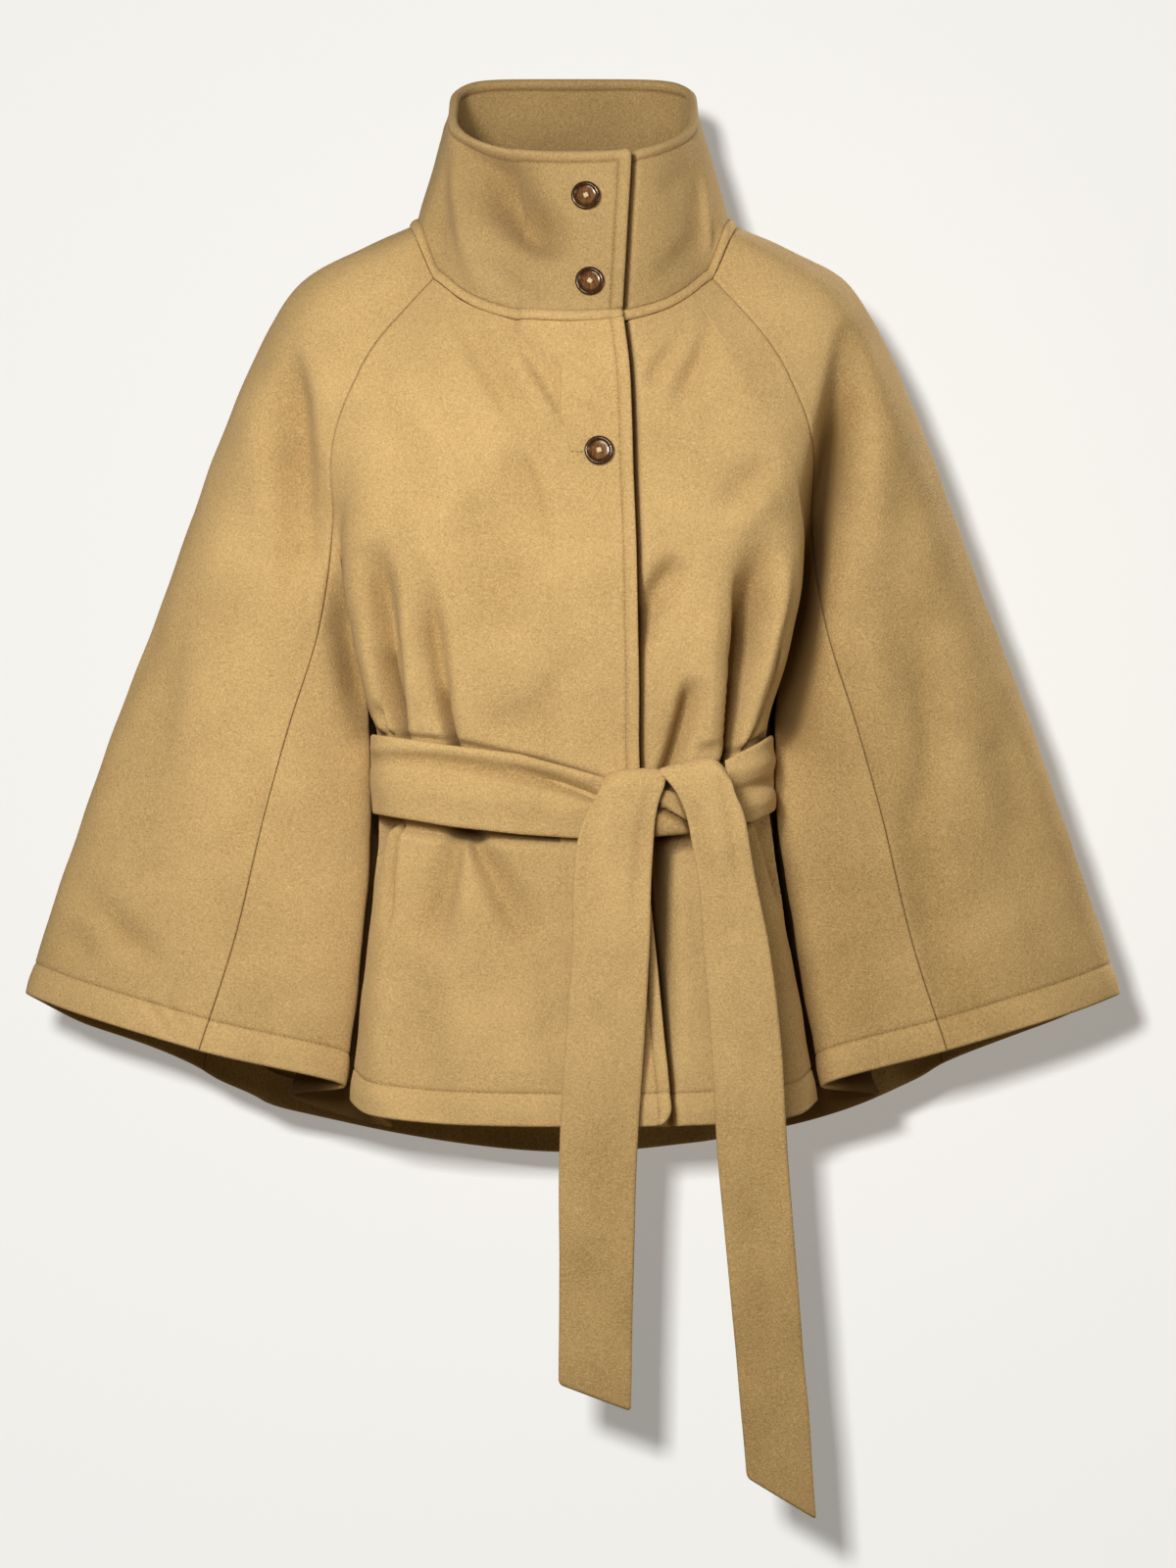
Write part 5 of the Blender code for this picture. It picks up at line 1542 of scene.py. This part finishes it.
#  share of the width, rise of the turn
LEFT_ARCH = ((0, -11), (0.06, -7), (0.14, -3), (0.25, -0.8), (0.45, 0.3), (0.8, 0.6),
             (0.92, -0.5), (1, -4))
RIGHT_ARCH = ((0, -3), (0.1, -1), (0.3, 2), (0.6, 5), (0.75, 6), (0.86, 4), (0.94, -1), (1, -6))
hang_tail("left_tail", "tail_left", TAIL_LEFT, LEFT_ARCH, 20, seam=11.0)
hang_tail("right_tail", "tail_right", TAIL_RIGHT, RIGHT_ARCH, 31)

# ================================================================== the buttons
# Turned horn buttons, 22 mm across, with a thick glossy rim, a dished middle and four holes,
# sewn on with brown thread: two on the collar, one on the right front.
BUTTON_RADIUS = 11.0 * MM
BUTTON_THICK = 3.4 * MM
HOLE_RADIUS = 0.95 * MM
HOLE_APART = 1.75 * MM
BUTTON_SIDES = 60
BUTTON_CLEAR = 0.3 * MM
# Where each sits, as seen from the front: x and z in mm, and how far it is turned, in degrees.
BUTTONS = (
    ("button_top", 9.5, 28, 24),
    ("button_neck", 12.5, -37, -31),
    ("button_chest", 19.5, -165, 8),
)
# Profile from the back over the rim to the dished middle: shares of the radius and thickness.
LATHE = (
    (0.60, 0.00), (0.82, 0.06), (0.95, 0.28), (1.00, 0.52), (0.985, 0.74), (0.94, 0.91),
    (0.87, 0.985), (0.80, 0.96), (0.745, 0.86), (0.71, 0.74), (0.66, 0.67), (0.55, 0.62),
    (0.40, 0.585), (0.20, 0.57),
)
# One strand of its thread: thickness, length in thicknesses, and how far apart they lie.
STRAND = 0.55 * MM
STRAND_LONG = 4.2
STRANDS_APART = 0.62 * MM

horn = Finish("horn", {"Roughness": 0.2, "IOR": 1.54, "Specular Tint": (1.0, 0.8, 0.55, 1),
                       "Coat Weight": 0.12, "Coat Roughness": 0.05})
radius_of = horn.node("Attribute", dict(attribute_name="radius"), {}, "Fac")
streaks = horn.node("TexNoise", {}, {"Vector": horn.node("Mapping", {}, {
    "Vector": horn.node("TexCoord", {}, {}, "Object"), "Scale": (520.0, 300.0, 130.0)}),
    "Scale": 1.0, "Detail": 5.0, "Roughness": 0.6, "Distortion": 1.2})
dished = horn.node("MapRange", dict(interpolation_type="SMOOTHSTEP"), {
    "Value": radius_of, "From Min": 0.50, "From Max": 0.76, "To Min": 0.30, "To Max": 0.0})
tone = horn.node("Clamp", {}, {"Value": dished + streaks * 1.0 - 0.36})
horn.feed("Base Color", horn.node("ValToRGB", dict(stops=(
    (0.0, (0.020, 0.008, 0.004, 1)), (0.30, (0.070, 0.028, 0.010, 1)),
    (0.55, (0.210, 0.090, 0.028, 1)), (0.80, (0.420, 0.210, 0.070, 1)),
    (1.0, (0.620, 0.360, 0.140, 1)))), {"Fac": tone}))

button_thread = Finish("button_thread", {"Roughness": 0.55, "Sheen Weight": 0.3})
twist = button_thread.node("TexNoise", {}, {
    "Vector": button_thread.node("TexCoord", {}, {}, "Object"), "Scale": 2500.0})
button_thread.feed("Base Color", button_thread.blend(twist, (0.42, 0.27, 0.12, 1),
                                                     (0.86, 0.70, 0.42, 1)))


def lathe_button(name):
    """Spin the profile of the button round its axis, close it and drill its four holes."""
    bpy.ops.object.select_all(action="DESELECT")
    bpy.ops.mesh.primitive_circle_add(vertices=BUTTON_SIDES, radius=BUTTON_RADIUS * LATHE[0][0],
                                      fill_type="NGON", location=(0, 0, 0))
    blank = bpy.context.object
    blank.name = name
    bpy.ops.object.mode_set(mode="EDIT")
    bpy.ops.mesh.select_mode(type="FACE")
    bpy.ops.mesh.select_all(action="SELECT")
    bpy.ops.mesh.flip_normals()
    for (radius, height), (next_radius, next_height) in zip(LATHE, LATHE[1:]):
        bpy.ops.mesh.extrude_region_move(
            TRANSFORM_OT_translate={"value": (0, 0, (next_height - height) * BUTTON_THICK)})
        scale = next_radius / radius
        bpy.ops.transform.resize(value=(scale, scale, 1), center_override=(0, 0, 0))
    bpy.ops.mesh.select_all(action="SELECT")
    bpy.ops.mesh.normals_make_consistent(inside=False)
    bpy.ops.object.mode_set(mode="OBJECT")
    for k in range(4):
        turn = math.pi / 4 + math.pi / 2 * k
        bpy.ops.object.select_all(action="DESELECT")
        bpy.ops.mesh.primitive_cylinder_add(
            vertices=18, radius=HOLE_RADIUS, depth=4 * BUTTON_THICK,
            location=(HOLE_APART * math.cos(turn), HOLE_APART * math.sin(turn), 0))
        drill = bpy.context.object
        bpy.context.view_layer.objects.active = blank
        cut = blank.modifiers.new("hole", "BOOLEAN")
        cut.operation = "DIFFERENCE"
        cut.object = drill
        bpy.ops.object.modifier_apply(modifier=cut.name)
        bpy.data.objects.remove(drill, do_unlink=True)
    bpy.ops.object.select_all(action="DESELECT")
    blank.select_set(True)
    bpy.context.view_layer.objects.active = blank
    bpy.ops.object.shade_smooth_by_angle(angle=math.radians(40))
    marks = blank.data.attributes.new("radius", "FLOAT", "POINT")
    marks.data.foreach_set("value", [min(1.0, math.hypot(v.co.x, v.co.y) / BUTTON_RADIUS)
                                     for v in blank.data.vertices])
    blank.data.materials.append(horn.material)
    return blank


def thread_cross(name):
    """The thread that holds a button: a cross of short strands, three and three on top."""
    bpy.ops.object.select_all(action="DESELECT")
    strands = []
    for k in range(6):
        layer, place = divmod(k, 3)
        bpy.ops.mesh.primitive_uv_sphere_add(segments=12, ring_count=8, radius=STRAND,
                                             location=(0, 0, 0))
        strand = bpy.context.object
        strand.scale = (STRAND_LONG, 1.0, 1.0)
        strand.location = (0, (place - 1) * STRANDS_APART,
                           0.60 * BUTTON_THICK + 0.75 * MM + layer * 0.25 * MM)
        strand.rotation_euler = (0, 0, math.radians(-45 if layer else 45))
        turned = Matrix.Rotation(strand.rotation_euler.z, 4, "Z")
        strand.location = turned @ strand.location
        strands.append(strand)
    for strand in strands:
        strand.select_set(True)
    bpy.context.view_layer.objects.active = strands[0]
    bpy.ops.object.join()
    joined = bpy.context.object
    bpy.ops.object.transform_apply(location=True, rotation=True, scale=True)
    joined.name = name
    bpy.ops.object.shade_smooth()
    joined.data.materials.append(button_thread.material)
    return joined


first_button = lathe_button("horn_button")
first_thread = thread_cross("sewing_thread")
for name, x, z, turned in BUTTONS:
    if name == "button_chest":
        face, normals, hidden = right.outer, right.normal, False
    else:
        face, normals, hidden = collar_outer, collar_normal, around < CENTRE_BACK_AT
    spot = nearest(face, x, z, hidden)
    out = Vector(normals[spot])
    seat = Vector(face[spot]) * MM + out * BUTTON_CLEAR
    seat.x = x * MM
    seat.z = z * MM
    lean = out.to_track_quat("Z", "Y").to_matrix().to_4x4()
    stand_here = Matrix.Translation(seat) @ lean @ Matrix.Rotation(math.radians(turned), 4, "Z")
    for first, label, slot_name in ((first_button, "", "horn"),
                                    (first_thread, "_thread", "coat_wool")):
        piece = bpy.data.objects.new(name + "_horn" + label, first.data.copy())
        bpy.context.collection.objects.link(piece)
        piece.data.transform(stand_here)
        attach(piece, "root")
        if first is first_button:
            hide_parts(name)
for first in (first_button, first_thread):
    bpy.data.objects.remove(first, do_unlink=True)
